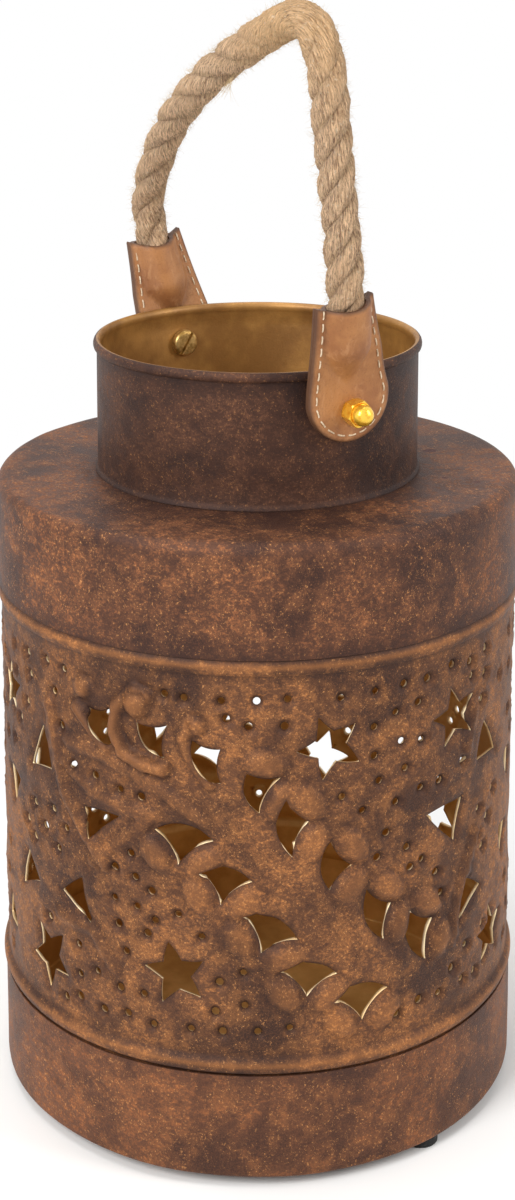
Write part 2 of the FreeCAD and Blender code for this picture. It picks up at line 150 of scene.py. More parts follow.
def shown(name, points, faces, materials, material_of=None, smooth=True):
    """A mesh object in the frame's own place, from its points and faces."""
    mesh = bpy.data.meshes.new(name)
    mesh.from_pydata(points, [], faces)
    for material in materials:
        mesh.materials.append(material)
    if material_of:
        mesh.polygons.foreach_set("material_index", material_of)
    mesh.polygons.foreach_set("use_smooth", [smooth] * len(faces))
    mesh.update()
    piece = bpy.data.objects.new(name, mesh)
    bpy.context.collection.objects.link(piece)
    return piece


table_white, place, shader = finish_of("table_white", Roughness=0.9, Base_Color=shade(246, 245, 243))
away = place.add("ShaderNodeVectorMath", {"operation": "LENGTH"}, {0: place}, 1)
white = place.add("ShaderNodeEmission", None, {"Color": (1, 1, 1, 1), "Strength": 1.0})
near = Wire(place.tree, shader.outputs[0])
fading = away.among(0.10, 0.30) * seen_directly(place)
faded = place.add("ShaderNodeMixShader", None, {0: fading, 1: near, 2: white})
feed(place.tree.nodes["Material Output"], Surface=faded)
floor = shown("table_top", [(-9, -9, 0), (9, -9, 0), (9, 9, 0), (-9, 9, 0)], [(0, 1, 2, 3)], [table_white])

world = bpy.data.worlds.new("studio")
bpy.context.scene.world = world
world.use_nodes = True
backdrop = seen_directly(Wire(world.node_tree)).over((0.50, 0.50, 0.50, 1), (1, 1, 1, 1))
feed(world.node_tree.nodes["Background"], Color=backdrop)


def softbox(name, place, toward, width, height, power):
    """An area light that faces a point."""
    light = bpy.data.lights.new(name, "AREA")
    light.shape = "RECTANGLE"
    light.size = width
    light.size_y = height
    light.energy = power
    lamp = bpy.data.objects.new(name, light)
    lamp.location = place
    lamp.rotation_euler = (Vector(toward) - Vector(place)).to_track_quat("-Z", "Y").to_euler()
    bpy.context.collection.objects.link(lamp)


softbox("softbox_front", (0.42, -1.0, 0.85), (0, 0, 0.17), 0.45, 0.8, 14)
softbox("softbox_right", (0.9, 0.75, 0.7), (0, 0, 0.17), 0.4, 0.8, 7.5)
softbox("softbox_above", (-0.2, -0.1, 1.3), (0, 0, 0.2), 0.8, 0.8, 6)
bpy.context.scene.view_settings.view_transform = "Standard"

# Three short round pads of black rubber are glued under the pan, close to its edge. They keep the metal
# off the table. Only one of them shows from the front.


def eased(corners, steps=4):
    """An outline of (radius, height) in mm from its corners, each rounded by the easing given with it."""
    outline = []
    for index, (across, up, easing) in enumerate(corners):
        here = Vector((across, up))
        before = Vector(corners[index - 1][:2]) - here
        after = Vector(corners[(index + 1) % len(corners)][:2]) - here
        if not easing:
            outline.append(here)
            continue
        trim = min(easing / math.tan(before.angle(after) / 2), 0.49 * before.length, 0.49 * after.length)
        start, end = here + before.normalized() * trim, here + after.normalized() * trim
        for step in range(steps + 1):
            share = step / steps
            outline.append(start * (1 - share) ** 2 + here * (2 * share * (1 - share)) + end * share ** 2)
    return outline


def turned(outline, sides, place=(0, 0, 0), uneven=0.0, seed=0.0, wave=None):
    """The points in metres and the faces of an outline in mm that is turned round an upright axis."""
    points, faces = [], []
    for side in range(sides):
        angle = 2 * math.pi * side / sides
        spot = Vector((math.cos(angle), math.sin(angle), 0))
        for across, up in outline:
            push = uneven * min(across / 30, 1) * noise.noise(spot * 2.3 + Vector((0, 0, up * 0.02 + seed)))
            lift = wave(angle, across, up) if wave else 0
            points.append((Vector(place) + spot * (across + push) + Vector((0, 0, up + lift))) / 1000)
    count = len(outline)
    for side in range(sides):
        low, high = side * count, (side + 1) % sides * count
        for index in range(count):
            after = (index + 1) % count
            faces.append((low + index, high + index, high + after, low + after))
    return points, faces


def cleaned(piece, crisp=35):
    """Join a piece's doubled points, turn its faces outward and keep the edges that turn sharply crisp."""
    work = bmesh.new()
    work.from_mesh(piece.data)
    bmesh.ops.remove_doubles(work, verts=work.verts, dist=1e-6)
    bmesh.ops.dissolve_degenerate(work, edges=work.edges, dist=1e-7)
    bmesh.ops.recalc_face_normals(work, faces=work.faces)
    work.to_mesh(piece.data)
    work.free()
    piece.data.set_sharp_from_angle(angle=math.radians(crisp))
    return piece


def bumped(height, depth):
    """The normal of a surface whose relief is the height, times depth in metres."""
    return height.add("ShaderNodeBump", None, {"Height": height, "Strength": 1.0, "Distance": depth})


rubber, space, shader = finish_of("black_rubber", Roughness=0.75, Specular_IOR_Level=0.35)
dust = space.cloud(0.0015, 4)
feed(shader, Base_Color=dust.among(0.45, 0.75).over(shade(22, 22, 23), shade(58, 54, 50)),
     Normal=bumped(dust, 0.0002))
foot_radius, foot_height, foot_circle = 6.0, 3.5, 83.2
pad_outline = eased([(0, 0, 0), (foot_radius, 0, 0.5), (foot_radius, foot_height, 0.25), (0, foot_height, 0)])
points, faces = [], []
for bearing in (11, 131, 251):
    place = (foot_circle * math.cos(math.radians(bearing)), foot_circle * math.sin(math.radians(bearing)), 0)
    pad_points, pad_faces = turned(pad_outline, 40, place)
    faces += [tuple(corner + len(points) for corner in face) for face in pad_faces]
    points += pad_points
feet = cleaned(shown("rubber_feet", points, faces, [rubber]))
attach(feet, "base")
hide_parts("base_feet")

# The base pan is a shallow round pan of tinplate, spun up from a flat disc, with its edge cut plain. The
# rust finish is dabbed on in browns over the outside, and the inside is sprayed gold.


def rusted(name, browns, dry_share, seed, sparkle=0.8, chips=()):
    """Tin dabbed with rust: browns from dark to fleck, dry patches, scratches, sparks, pits, wear mixed with
    painted highlight, and painted shade.
    """
    dark, middle, bright, fleck = [shade(*brown) for brown in browns]
    material, space, shader = finish_of(name, Specular_IOR_Level=0.2)
    shift = (seed, seed * 0.7, seed * 0.3)
    place = space.add("ShaderNodeVectorMath", {"operation": "ADD"}, {0: space, 1: shift})
    clouds = place.cloud(0.036, 6.0, 0.62, 0.25)
    mottle = place.cloud(0.008, 6.0, 0.70, 0.25)
    bruises = place.cloud(0.017, 6.0, 0.66, 0.2)
    streaks = place.stretched(1, 1, 1.5).cloud(0.0024, 6.0, 0.78, 0.3)
    flecks = place.cloud(0.0008, 4.0, 0.8, 0.1)
    grain = place.cloud(0.0005, 2.0, 0.6)
    colour = clouds.among(0.34, 0.66).over(dark, middle)
    colour = (mottle.among(0.44, 0.70) * 0.6).over(colour, bright)
    dry = clouds.among(0.52 - 0.14 * dry_share, 0.72 - 0.14 * dry_share) * streaks.among(0.46, 0.62)
    colour = (dry * (0.25 + 0.6 * flecks.among(0.42, 0.60))).over(colour, fleck)
    colour = (bruises.among(0.52, 0.66) * (0.5 + 0.5 * flecks.among(0.40, 0.55)) * 0.8).over(colour, dark)
    crawl = place.cloud(0.0026, 3.0, 0.6, 1.2)
    scratches = 1 - crawl.maths("ABSOLUTE", crawl - 0.5).among(0.004, 0.022)
    scratches = scratches * mottle.among(0.46, 0.60) * (0.35 + 0.65 * clouds.among(0.42, 0.62))
    colour = (scratches * 0.7 * sparkle).over(colour, fleck)
    sparks = flecks.among(0.585, 0.64) * mottle.among(0.38, 0.56)
    colour = (sparks * sparkle).over(colour, shade(212, 150, 92))
    pits = (1 - flecks.among(0.33, 0.44)) * 0.6
    colour = pits.over(colour, dark)
    colour = (grain.among(0.35, 0.7) * 0.22).over(colour, bright)
    # Raised relief and bead crowns are lightened: partly wear, partly painted highlight.
    wear_and_highlight = space.add("ShaderNodeAttribute", {"attribute_name": "raised"}, None, 2)
    colour = (wear_and_highlight * 0.5).over(colour, fleck)
    # Painted shade: this attribute darkens the rust in grooves, dents, under edges and where parts meet.
    hollow_shade = space.add("ShaderNodeAttribute", {"attribute_name": "painted_shade"}, None, 2)
    colour = (hollow_shade * 0.75).over(colour, dark)
    for spot, reach in chips:
        away = space.add("ShaderNodeVectorMath", {"operation": "DISTANCE"}, {0: space, 1: spot}, 1)
        edge = away + (mottle - 0.5) * (1.5 * reach)
        colour = ((1 - edge.among(reach * 0.7, reach)) * 0.9).over(colour, shade(66, 16, 8))
    feed(shader, Base_Color=colour, Roughness=0.42 + 0.20 * mottle + 0.16 * dry,
         Metallic=0.25 * (1 - 0.6 * dry), Normal=bumped(flecks * 0.5 + mottle * 0.8 + streaks * 0.4, 0.0003))
    return material


def marked(piece, name, values):
    """Keep a number at each point of a piece under a name, for its finish to read."""
    piece.data.attributes.new(name, "FLOAT", "POINT").data.foreach_set("value", values)


def painted_shade_on(piece, shade_at):
    """Mark how much painted shade darkens each point of a piece, from its radius and height in mm."""
    marked(piece, "painted_shade", [shade_at(1000 * math.hypot(vertex.co.x, vertex.co.y), 1000 * vertex.co.z)
                              for vertex in piece.data.vertices])


def gilded(name, deep, light, seed):
    """Gold paint sprayed on tin: a satin sheen with a fine grain and a slow change of tone."""
    material, space, shader = finish_of(name, Metallic=0.35, Specular_IOR_Level=0.5)
    place = space.add("ShaderNodeVectorMath", {"operation": "ADD"}, {0: space, 1: (seed, seed, seed)})
    tone = place.cloud(0.020, 4.0, 0.6)
    grain = place.cloud(0.0007, 3.0, 0.7)
    colour = (tone.among(0.35, 0.68) * 0.7 + grain * 0.3).over(shade(*deep), shade(*light))
    feed(shader, Base_Color=colour, Roughness=0.34 + 0.22 * grain, Normal=bumped(grain + tone, 0.00008))
    return material


pan_rust = rusted("pan_rust", ((62, 40, 33), (104, 67, 47), (134, 86, 54), (172, 104, 58)), 0.8, 3.1)
pan_gold = gilded("pan_gold", (190, 142, 74), (232, 188, 116), 1.3)
pan_radius, pan_inside, pan_floor, pan_edge = 90.4, 89.7, 4.2, 39.9


def pan_edge_wave(angle, across, up):
    """The pan's cut edge dips away from the front, which leaves a dark, uneven gap under the bead."""
    if up < 38:
        return 0.0
    off = angle - toward_camera
    ragged = noise.noise(Vector((math.cos(off) * 3, math.sin(off) * 3, 8)))
    return -0.12 - 0.62 * math.sin(off) ** 2 - 0.18 * (0.5 + ragged)


def long_runs_cut(outline):
    """The outline with each run of over 12 mm cut in six, so that it can be uneven."""
    places = []
    for low, high in zip(outline, outline[1:] + outline[:1]):
        places.append(low)
        if (high - low).length > 12:
            places += [low.lerp(high, share / 6) for share in range(1, 6)]
    return places


def gold_runs(outline, is_gold):
    """1 for each run of an outline whose middle is gold, and 0 for each one that is rust."""
    middles = [(low + high) / 2 for low, high in zip(outline, outline[1:] + outline[:1])]
    return [int(is_gold(middle.x, middle.y)) for middle in middles]


pan_outline = long_runs_cut(eased([
    (0, foot_height, 0), (pan_radius, foot_height, 1.6), (pan_radius, pan_edge, 0.28),
    (pan_inside, pan_edge, 0.28), (pan_inside, pan_floor, 1.0), (0, pan_floor, 0),
]))
spun_sides = 300
points, faces = turned(pan_outline, spun_sides, uneven=0.5, seed=4.0, wave=pan_edge_wave)
pan_gold_runs = gold_runs(pan_outline, lambda radius, up: radius < pan_inside + 0.1 and up > pan_floor - 0.1)
pan = cleaned(shown("base_pan_spun", points, faces, [pan_rust, pan_gold], pan_gold_runs * spun_sides))
# Painted shade along the pan's top edge under the shell's bead, and half-strength painted shade on the pan's
# underside.
painted_shade_on(pan, lambda radius, up: 0.9 * math.exp(-((up - pan_edge) / 0.7) ** 2) if radius > 89 else 0.5)
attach(pan, "base")
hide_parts("base_pan")

# The can's shell is one rolled sheet of tin, soldered up its side. Stars, scallop gaps and three-sided
# gaps are struck through it, nail holes fill the ground between, and the scales and scrolls are pressed
# out from behind.
shell_radius = 89.3
half_turn = math.pi * shell_radius
girth = 2 * half_turn
shell_low, shell_high = 27.9, 193.6
lower_bead_low, lower_bead_height = 40.0, 5.4
band_low, band_height = 45.4, 129.0
upper_bead_low, upper_bead_height = 174.4, 5.2
seam_at = -155.53
star_places = [
    # across, up, reach, twist
    (-0.388, 0.795, 0.85, 0.0), (-0.286, 0.136, 1.0, 0.5), (-0.096, 0.207, 1.0, 0.19),
    (0.083, 0.809, 1.0, 0.31), (0.256, 0.811, 0.95, 0.14), (0.348, 0.14, 0.92, 0.03),
    (-0.468, 0.36, 0.95, 0.6),
]
scallop_gaps = [
    ((-0.209, 0.862), (-0.173, 0.784), (-0.178, 0.873)), ((-0.142, 0.853), (-0.109, 0.772), (-0.104, 0.859)),
    ((-0.074, 0.826), (-0.042, 0.721), (-0.042, 0.811)), ((-0.012, 0.751), (0.002, 0.649), (0.026, 0.740)),
    ((0.032, 0.687), (0.039, 0.534), (0.058, 0.622)), ((0.085, 0.562), (0.084, 0.434), (0.111, 0.491)),
    ((0.130, 0.417), (0.152, 0.277), (0.163, 0.366)), ((0.186, 0.336), (0.213, 0.184), (0.223, 0.290)),
    ((-0.120, 0.584), (-0.050, 0.572), (-0.091, 0.503)), ((-0.066, 0.487), (-0.006, 0.469), (-0.042, 0.406)),
    ((-0.016, 0.378), (0.046, 0.312), (0.004, 0.283)), ((0.026, 0.230), (0.093, 0.210), (0.057, 0.157)),
    ((0.088, 0.139), (0.158, 0.142), (0.125, 0.070)),
]
three_sided_gaps = [
    ((-0.292, 0.762), (-0.318, 0.638), (-0.275, 0.655)), ((-0.217, 0.594), (-0.210, 0.513), (-0.166, 0.597)),
    ((-0.337, 0.383), (-0.352, 0.277), (-0.306, 0.322)), ((-0.258, 0.339), (-0.210, 0.286), (-0.225, 0.396)),
    ((0.280, 0.355), (0.266, 0.237), (0.317, 0.304)), ((0.324, 0.751), (0.307, 0.654), (0.357, 0.648)),
    ((0.211, 0.574), (0.259, 0.475), (0.272, 0.582)), ((-0.389, 0.577), (-0.378, 0.487), (-0.358, 0.560)),
    ((0.378, 0.407), (0.392, 0.316), (0.408, 0.398)), ((0.398, 0.592), (0.414, 0.520), (0.428, 0.588)),
    ((0.486, 0.560), (0.462, 0.480), (0.508, 0.475)), ((-0.412, 0.200), (-0.384, 0.110), (-0.434, 0.105)),
]
nail_places = [
    # across, up
    (-0.366, 0.93), (-0.328, 0.93), (-0.359, 0.86), (-0.320, 0.88), (-0.284, 0.94), (-0.251, 0.94),
    (-0.269, 0.87), (-0.328, 0.80), (-0.349, 0.74), (-0.366, 0.67), (-0.254, 0.79), (-0.232, 0.70),
    (-0.198, 0.69), (-0.165, 0.67), (-0.136, 0.66), (-0.109, 0.94), (-0.082, 0.94), (-0.042, 0.94),
    (-0.036, 0.89), (-0.009, 0.87), (0.001, 0.94), (-0.313, 0.54), (-0.275, 0.55), (-0.331, 0.48),
    (-0.292, 0.49), (-0.315, 0.44), (-0.251, 0.51), (-0.266, 0.45), (-0.151, 0.51), (-0.171, 0.46),
    (-0.146, 0.45), (-0.402, 0.35), (0.033, 0.94), (0.030, 0.87), (0.096, 0.93), (0.136, 0.94),
    (0.173, 0.94), (0.210, 0.94), (0.248, 0.95), (0.283, 0.94), (0.317, 0.95), (0.285, 0.90),
    (0.317, 0.89), (0.357, 0.85), (0.164, 0.87), (0.197, 0.88), (0.135, 0.84), (0.173, 0.79),
    (0.202, 0.78), (0.136, 0.77), (0.180, 0.72), (0.143, 0.70), (0.201, 0.66), (0.096, 0.68),
    (0.164, 0.64), (0.123, 0.63), (0.232, 0.66), (0.274, 0.68), (0.309, 0.82), (0.152, 0.56),
    (0.181, 0.51), (0.143, 0.50), (0.205, 0.46), (0.187, 0.45), (0.227, 0.41), (0.347, 0.55),
    (0.307, 0.52), (0.333, 0.48), (0.305, 0.45), (0.322, 0.41), (-0.124, 0.42), (-0.175, 0.38),
    (-0.145, 0.37), (-0.120, 0.34), (-0.092, 0.37), (-0.065, 0.32), (-0.169, 0.31), (-0.132, 0.30),
    (-0.158, 0.24), (-0.230, 0.21), (-0.286, 0.24), (-0.201, 0.16), (-0.227, 0.13), (-0.169, 0.14),
    (-0.137, 0.14), (-0.252, 0.05), (-0.230, 0.07), (-0.191, 0.06), (-0.156, 0.07), (-0.122, 0.06),
    (-0.076, 0.07), (-0.040, 0.07), (-0.043, 0.20), (-0.016, 0.23), (-0.047, 0.12), (-0.015, 0.14),
    (-0.001, 0.07), (0.036, 0.08), (0.169, 0.06), (0.202, 0.08), (0.236, 0.07), (0.259, 0.12),
    (0.276, 0.08), (0.307, 0.07), (0.285, 0.17), (0.322, 0.19), (0.236, 0.35), (0.40, 0.94), (0.44, 0.93),
    (0.48, 0.94), (0.40, 0.85), (0.44, 0.80), (0.47, 0.87), (0.41, 0.72), (0.45, 0.71), (0.49, 0.75),
    (0.43, 0.65), (0.48, 0.65), (0.40, 0.24), (0.44, 0.28), (0.42, 0.15), (0.46, 0.20), (0.41, 0.07),
    (0.45, 0.08), (0.49, 0.07), (-0.40, 0.05), (-0.45, 0.06), (-0.47, 0.14), (-0.46, 0.22), (-0.41, 0.27),
    (-0.40, 0.66), (-0.43, 0.72), (-0.46, 0.66), (-0.41, 0.88), (-0.44, 0.93), (-0.47, 0.88),
    (-0.48, 0.78), (-0.44, 0.60), (-0.44, 0.50), (-0.47, 0.54),
]
pressed_ribs = [
    # half width, height and the groove beside it in mm, then the places along it
    (1.9, 1.4, 0.5, [(-0.226, 0.856), (-0.208, 0.824), (-0.179, 0.773)]),
    (2.3, 1.6, 0.6, [(-0.128, 0.925), (-0.143, 0.935), (-0.167, 0.887), (-0.171, 0.827), (-0.158, 0.774),
                     (-0.132, 0.752), (-0.109, 0.747)]),
    (2.0, 1.2, 0.4, [(-0.075, 0.876), (-0.084, 0.834), (-0.073, 0.778), (-0.054, 0.722)]),
    (2.2, 0.9, 0.3, [(-0.240, 0.759), (-0.186, 0.752), (-0.136, 0.717), (-0.095, 0.673), (-0.060, 0.62)]),
    (1.9, 0.8, 0.2, [(-0.246, 0.700), (-0.206, 0.649), (-0.158, 0.624), (-0.119, 0.624)]),
    (2.0, 0.8, 0.3, [(-0.206, 0.456), (-0.163, 0.539), (-0.119, 0.624)]),
    (2.4, 0.8, 0.3, [(-0.277, 0.832), (-0.249, 0.622), (-0.216, 0.526), (-0.186, 0.460)]),
    (2.2, 0.8, 0.2, [(-0.261, 0.274), (-0.206, 0.272), (-0.176, 0.189)]),
    (2.3, 0.8, 0.3, [(0.292, 0.812), (0.279, 0.694)]),
    (2.3, 0.9, 0.3, [(0.300, 0.464), (0.272, 0.333), (0.253, 0.204)]),
    (2.4, 0.45, 0.0, [(0.036, 0.560), (0.052, 0.50), (0.060, 0.43), (0.082, 0.37)]),
    (2.4, 0.45, 0.0, [(0.11, 0.40), (0.118, 0.31), (0.150, 0.24), (0.175, 0.20)]),
    (1.5, 0.5, 0.1, [(-0.098, 0.47), (-0.078, 0.53), (-0.050, 0.545), (-0.028, 0.515)]),
    (2.0, 0.4, 0.0, [(-0.060, 0.365), (-0.030, 0.415), (-0.002, 0.405), (0.012, 0.39)]),
    (2.0, 0.4, 0.0, [(-0.010, 0.245), (0.012, 0.285), (0.052, 0.275), (0.068, 0.25)]),
]
# across, up, then radius and height in mm
pressed_balls = [(-0.215, 0.913, 3.6, 1.9), (-0.141, 0.905, 4.6, 2.1), (-0.068, 0.868, 2.6, 1.2)]


def arc_between(start, end, bulge, spacing):
    """Places from start up to before end, standing out to the right of the way by a share of the distance."""
    chord = end - start
    aside = Vector((chord.y, -chord.x)) * bulge
    count = max(2, round(chord.length / spacing))
    return [start + chord * (i / count) + aside * (4 * (i / count) * (1 - i / count)) for i in range(count)]


def loop_of(corners, bulges, spacing=0.9):
    """A closed loop through corners, anticlockwise, with its own bulge for each side."""
    loop = []
    for index, bulge in enumerate(bulges):
        loop += arc_between(corners[index], corners[(index + 1) % len(corners)], bulge, spacing)
    return loop


def on_sheet(across, up, turn):
    """A place of the sheet in mm from its shares of half the girth and of the band. Turn 1 is the back."""
    return Vector((across * half_turn + turn * half_turn, band_low + up * band_height))


def wrapped(middle):
    """How far a motif moves along the sheet to lie between its two soldered edges."""
    return -girth if middle > seam_at + girth else 0.0


striking = random.Random(11)
star_reach = 11.2
scallop_bulges, straight_bulges = (0.2, -0.1, -0.1), (0.03, -0.03, 0.03)
seam_margin = 4
cut_loops, nail_middles, scallop_tips = [], [], []
for turn in range(2):
    for across, up, reach, twist in star_places:
        middle = on_sheet(across, up, turn)
        middle.x += wrapped(middle.x)
        corners = []
        for point in range(10):
            far = star_reach * reach * (1 if point % 2 == 0 else 0.47) * striking.uniform(0.96, 1.04)
            angle = math.radians(90 + twist * 72 + point * 36 + striking.uniform(-2, 2))
            corners.append(middle + Vector((math.cos(angle), math.sin(angle))) * far)
        cut_loops.append(loop_of(corners, [striking.uniform(-0.04, 0.04) for side in range(10)]))
    for shares, bulges in [(gap, scallop_bulges) for gap in scallop_gaps] + [
            (gap, straight_bulges) for gap in three_sided_gaps]:
        corners = [on_sheet(across, up, turn) for across, up in shares]
        shift = Vector((wrapped(sum(corner.x for corner in corners) / 3), 0))
        corners = [corner + shift for corner in corners]
        if (corners[1] - corners[0]).cross(corners[2] - corners[0]) < 0:
            corners = [corners[1], corners[0], corners[2]]
        cut_loops.append(loop_of(corners, bulges))
        if bulges is scallop_bulges and shares not in scallop_gaps[:3]:
            scallop_tips.append(corners)
    for across, up in nail_places:
        struck = across + striking.uniform(-0.002, 0.002), up + striking.uniform(-0.004, 0.004)
        middle = on_sheet(*struck, turn)
        middle.x += wrapped(middle.x)
        if seam_at + seam_margin < middle.x < seam_at + girth - seam_margin:
            nail_middles.append(middle)


def way_to_loop(places, loop):
    """For an array of places, how far each is from a closed loop, and whether it is inside."""
    here = np.array([tuple(corner) for corner in loop])
    there = np.roll(here, -1, axis=0)
    span = there - here
    rel = places[:, None, :] - here[None, :, :]
    along = np.clip((rel * span).sum(2) / (span ** 2).sum(1), 0, 1)
    away = np.hypot(*np.moveaxis(rel - along[:, :, None] * span, 2, 0)).min(1)
    rise = (here[None, :, 1] > places[:, None, 1]) != (there[None, :, 1] > places[:, None, 1])
    level = np.where(span[:, 1] == 0, 1e-12, span[:, 1])
    cross_at = here[:, 0] + (places[:, None, 1] - here[:, 1]) * span[:, 0] / level
    inside = (rise & (places[:, None, 0] < cross_at)).sum(1) % 2 == 1
    return away, inside


def close_to(places, loop, margin):
    """Which of the places are within a margin of a loop's box."""
    box = np.array([tuple(corner) for corner in loop])
    low, high = box.min(0) - margin, box.max(0) + margin
    return np.flatnonzero(((places > low) & (places < high)).all(1))


def clear_of(places, loops, gap):
    """The places that lie outside every loop and at least a gap away from it."""
    kept = np.ones(len(places), bool)
    for loop in loops:
        near = close_to(places, loop, gap)
        if len(near):
            away, inside = way_to_loop(places[near], loop)
            kept[near[inside | (away < gap)]] = False
    return places[kept]


def cut_sheet(edge, holes, spread):
    """Places and triangles of a flat sheet inside its edge, less its holes, through the spread places."""
    places, ties, owner = [], [], []
    for number, loop in enumerate([edge] + holes):
        first = len(places)
        places += [Vector(tuple(corner)) for corner in loop]
        ties += [(first + index, first + (index + 1) % len(loop)) for index in range(len(loop))]
        owner += [number] * len(loop)
    places += [Vector(tuple(place)) for place in spread]
    found, _, triangles, origins, _, _ = delaunay_2d_cdt(places, ties, [], 1, 1e-6)
    owners = [{owner[index] for index in origin if index < len(owner)} for origin in origins]
    kept = []
    for triangle in triangles:
        shared = owners[triangle[0]] & owners[triangle[1]] & owners[triangle[2]] - {0}
        if shared:
            middle = sum((Vector(found[corner]) for corner in triangle), Vector((0, 0))) / 3
            away, inside = way_to_loop(np.array([tuple(middle)]), holes[min(shared) - 1])
            if inside[0]:
                continue
        kept.append(tuple(triangle))
    return np.array([tuple(place) for place in found]), kept


def ringed(middle, radius, count):
    """Places evenly spaced round a middle."""
    return [middle + Vector((math.cos(2 * math.pi * i / count), math.sin(2 * math.pi * i / count))) * radius
            for i in range(count)]


nail_middles = [Vector(tuple(place)) for place in clear_of(
    np.array([tuple(middle) for middle in nail_middles]), cut_loops, 2.2)]
nail_radii = [striking.uniform(1.0, 1.3) for middle in nail_middles]
nail_loops = [ringed(middle, radius, 10) for middle, radius in zip(nail_middles, nail_radii)]
sheet_rows = [shell_low, 31, 34, 37, 39.4]
sheet_rows += [lower_bead_low + lower_bead_height * i / 9 for i in range(9)]
sheet_rows += [band_low + band_height * i / 78 for i in range(78)]
sheet_rows += [upper_bead_low + upper_bead_height * i / 8 for i in range(9)] + [183, 187, 190, shell_high]
columns = 318
spread = np.array([(seam_at + girth * column / columns, row)
                   for row in sheet_rows[1:-1] for column in range(1, columns)])
extra = [place for middle, radius in zip(nail_middles, nail_radii) for grow in (0.7, 1.6)
         for place in ringed(middle, radius + grow, 12)]
for loop in cut_loops:
    for index, corner in enumerate(loop):
        way = loop[(index + 1) % len(loop)] - loop[index - 1]
        out = Vector((way.y, -way.x)).normalized()
        extra += [corner + out * 0.6, corner + out * 1.4]
extra = np.array([tuple(place) for place in extra])
extra = extra[(extra[:, 0] > seam_at + 1) & (extra[:, 0] < seam_at + girth - 1)]
# The scrolls and their round ends are small, so places lie closer together on and beside them.
closer_step, closer_reach, box_margin, spread_gap = 1.1, 4.2, 4.5, 4.6
closer = []
for turn in range(2):
    ways = []
    for _, _, _, shares in pressed_ribs[:3]:
        ways.append(np.array([tuple(on_sheet(across, up, turn)) for across, up in shares]))
    for across, up, _, _ in pressed_balls:
        ways.append(np.array([tuple(on_sheet(across, up, turn))] * 2) + ((0, 0), (0.1, 0)))
    low, high = np.concatenate(ways).min(0) - box_margin, np.concatenate(ways).max(0) + box_margin
    along, rows = np.arange(low[0], high[0], closer_step), np.arange(low[1], high[1], closer_step)
    grid = np.array([(x, y) for x in along for y in rows])
    closer.append(grid[np.min([way_to_loop(grid, way)[0] for way in ways], axis=0) < closer_reach])
    spread = spread[np.min([way_to_loop(spread, way)[0] for way in ways], axis=0) > spread_gap]
spread = np.concatenate([clear_of(spread, cut_loops, 1.9), clear_of(extra, cut_loops, 0.5),
                         clear_of(np.concatenate(closer), cut_loops, 1.7)])
spread = clear_of(spread, nail_loops, 0.55)
edge = [Vector((seam_at, row)) for row in reversed(sheet_rows)]
edge += [Vector((seam_at + girth * column / columns, shell_low)) for column in range(1, columns)]
edge += [Vector((seam_at + girth, row)) for row in sheet_rows]
edge += [Vector((seam_at + girth * column / columns, shell_high)) for column in reversed(range(1, columns))]
flat, triangles = cut_sheet(edge, cut_loops + nail_loops, spread)


def pressed_relief(flat):
    """How far the sheet stands out, how far punches have bent it in, and the grooves, by place, in mm."""
    out = np.zeros(len(flat))
    beside = np.zeros(len(flat))
    on_rib = np.zeros(len(flat), bool)
    for wide, high, deep, shares in pressed_ribs:
        for turn in range(2):
            way = [on_sheet(across, up, turn) for across, up in shares]
            shift = wrapped(way[0].x)
            for start, end in zip(way, way[1:]):
                start, end = np.array(start) + (shift, 0), np.array(end) + (shift, 0)
                span = end - start
                rel = flat - start
                along = np.clip((rel @ span) / (span @ span), 0, 1)
                away = np.hypot(*(rel - along[:, None] * span).T)
                ridge = high * np.exp(-(away / wide) ** 5) + 0.2 * high * np.exp(-(away / wide / 0.4) ** 2)
                out = np.maximum(out, ridge)
                beside = np.maximum(beside, deep * np.exp(-((away - wide - 0.8) / 0.7) ** 2))
                on_rib |= away < wide
    for across, up, radius, high in pressed_balls:
        for turn in range(2):
            middle = on_sheet(across, up, turn)
            away = np.hypot(flat[:, 0] - middle.x - wrapped(middle.x), flat[:, 1] - middle.y)
            dome = high * np.sqrt(np.clip(1 - (away / radius) ** 2, 0, 1))
            out = np.where(away < radius + 0.2, np.maximum(dome, 0.2), out)
            beside = np.maximum(beside, 0.6 * np.exp(-((away - radius - 0.7) / 0.7) ** 2))
            on_rib |= away < radius
    # A scale is pressed out beside each of the two sides that meet at a scallop gap's last corner.
    for corners in scallop_tips:
        for first in (0, 1):
            middle = (corners[first] + corners[2]) / 2
            way = corners[2] - corners[first]
            side = Vector((way.y, -way.x)).normalized() * (1 if first else -1)
            rel = flat - np.array(middle + side * 4.4)
            lengthwise = rel @ np.array(way.normalized()) / 6.4
            away = np.hypot(lengthwise, rel @ np.array(side) / 4.3)
            out = np.maximum(out, 1.35 * np.exp(-away ** 5))
            beside = np.maximum(beside, 0.45 * np.exp(-((away - 1.22) / 0.15) ** 2))
            on_rib |= away < 1
    beside[on_rib] = 0
    out -= beside
    bent = np.zeros(len(flat))
    for loop in cut_loops:
        near = close_to(flat, loop, 3.5)
        away, inside = way_to_loop(flat[near], loop)
        bent[near] = np.maximum(bent[near], 0.85 * np.exp(-(away / 1.3) ** 2))
    for middle, radius in zip(nail_middles, nail_radii):
        near = close_to(flat, [middle], 5.0)
        away = np.hypot(flat[near, 0] - middle.x, flat[near, 1] - middle.y)
        bent[near] = np.maximum(bent[near], 1.05 * np.exp(-(np.maximum(away - radius, 0) / 1.15) ** 2))
        out[near] += 0.32 * np.exp(-((away - radius - 2.2) / 0.8) ** 2)
    return out, bent, beside


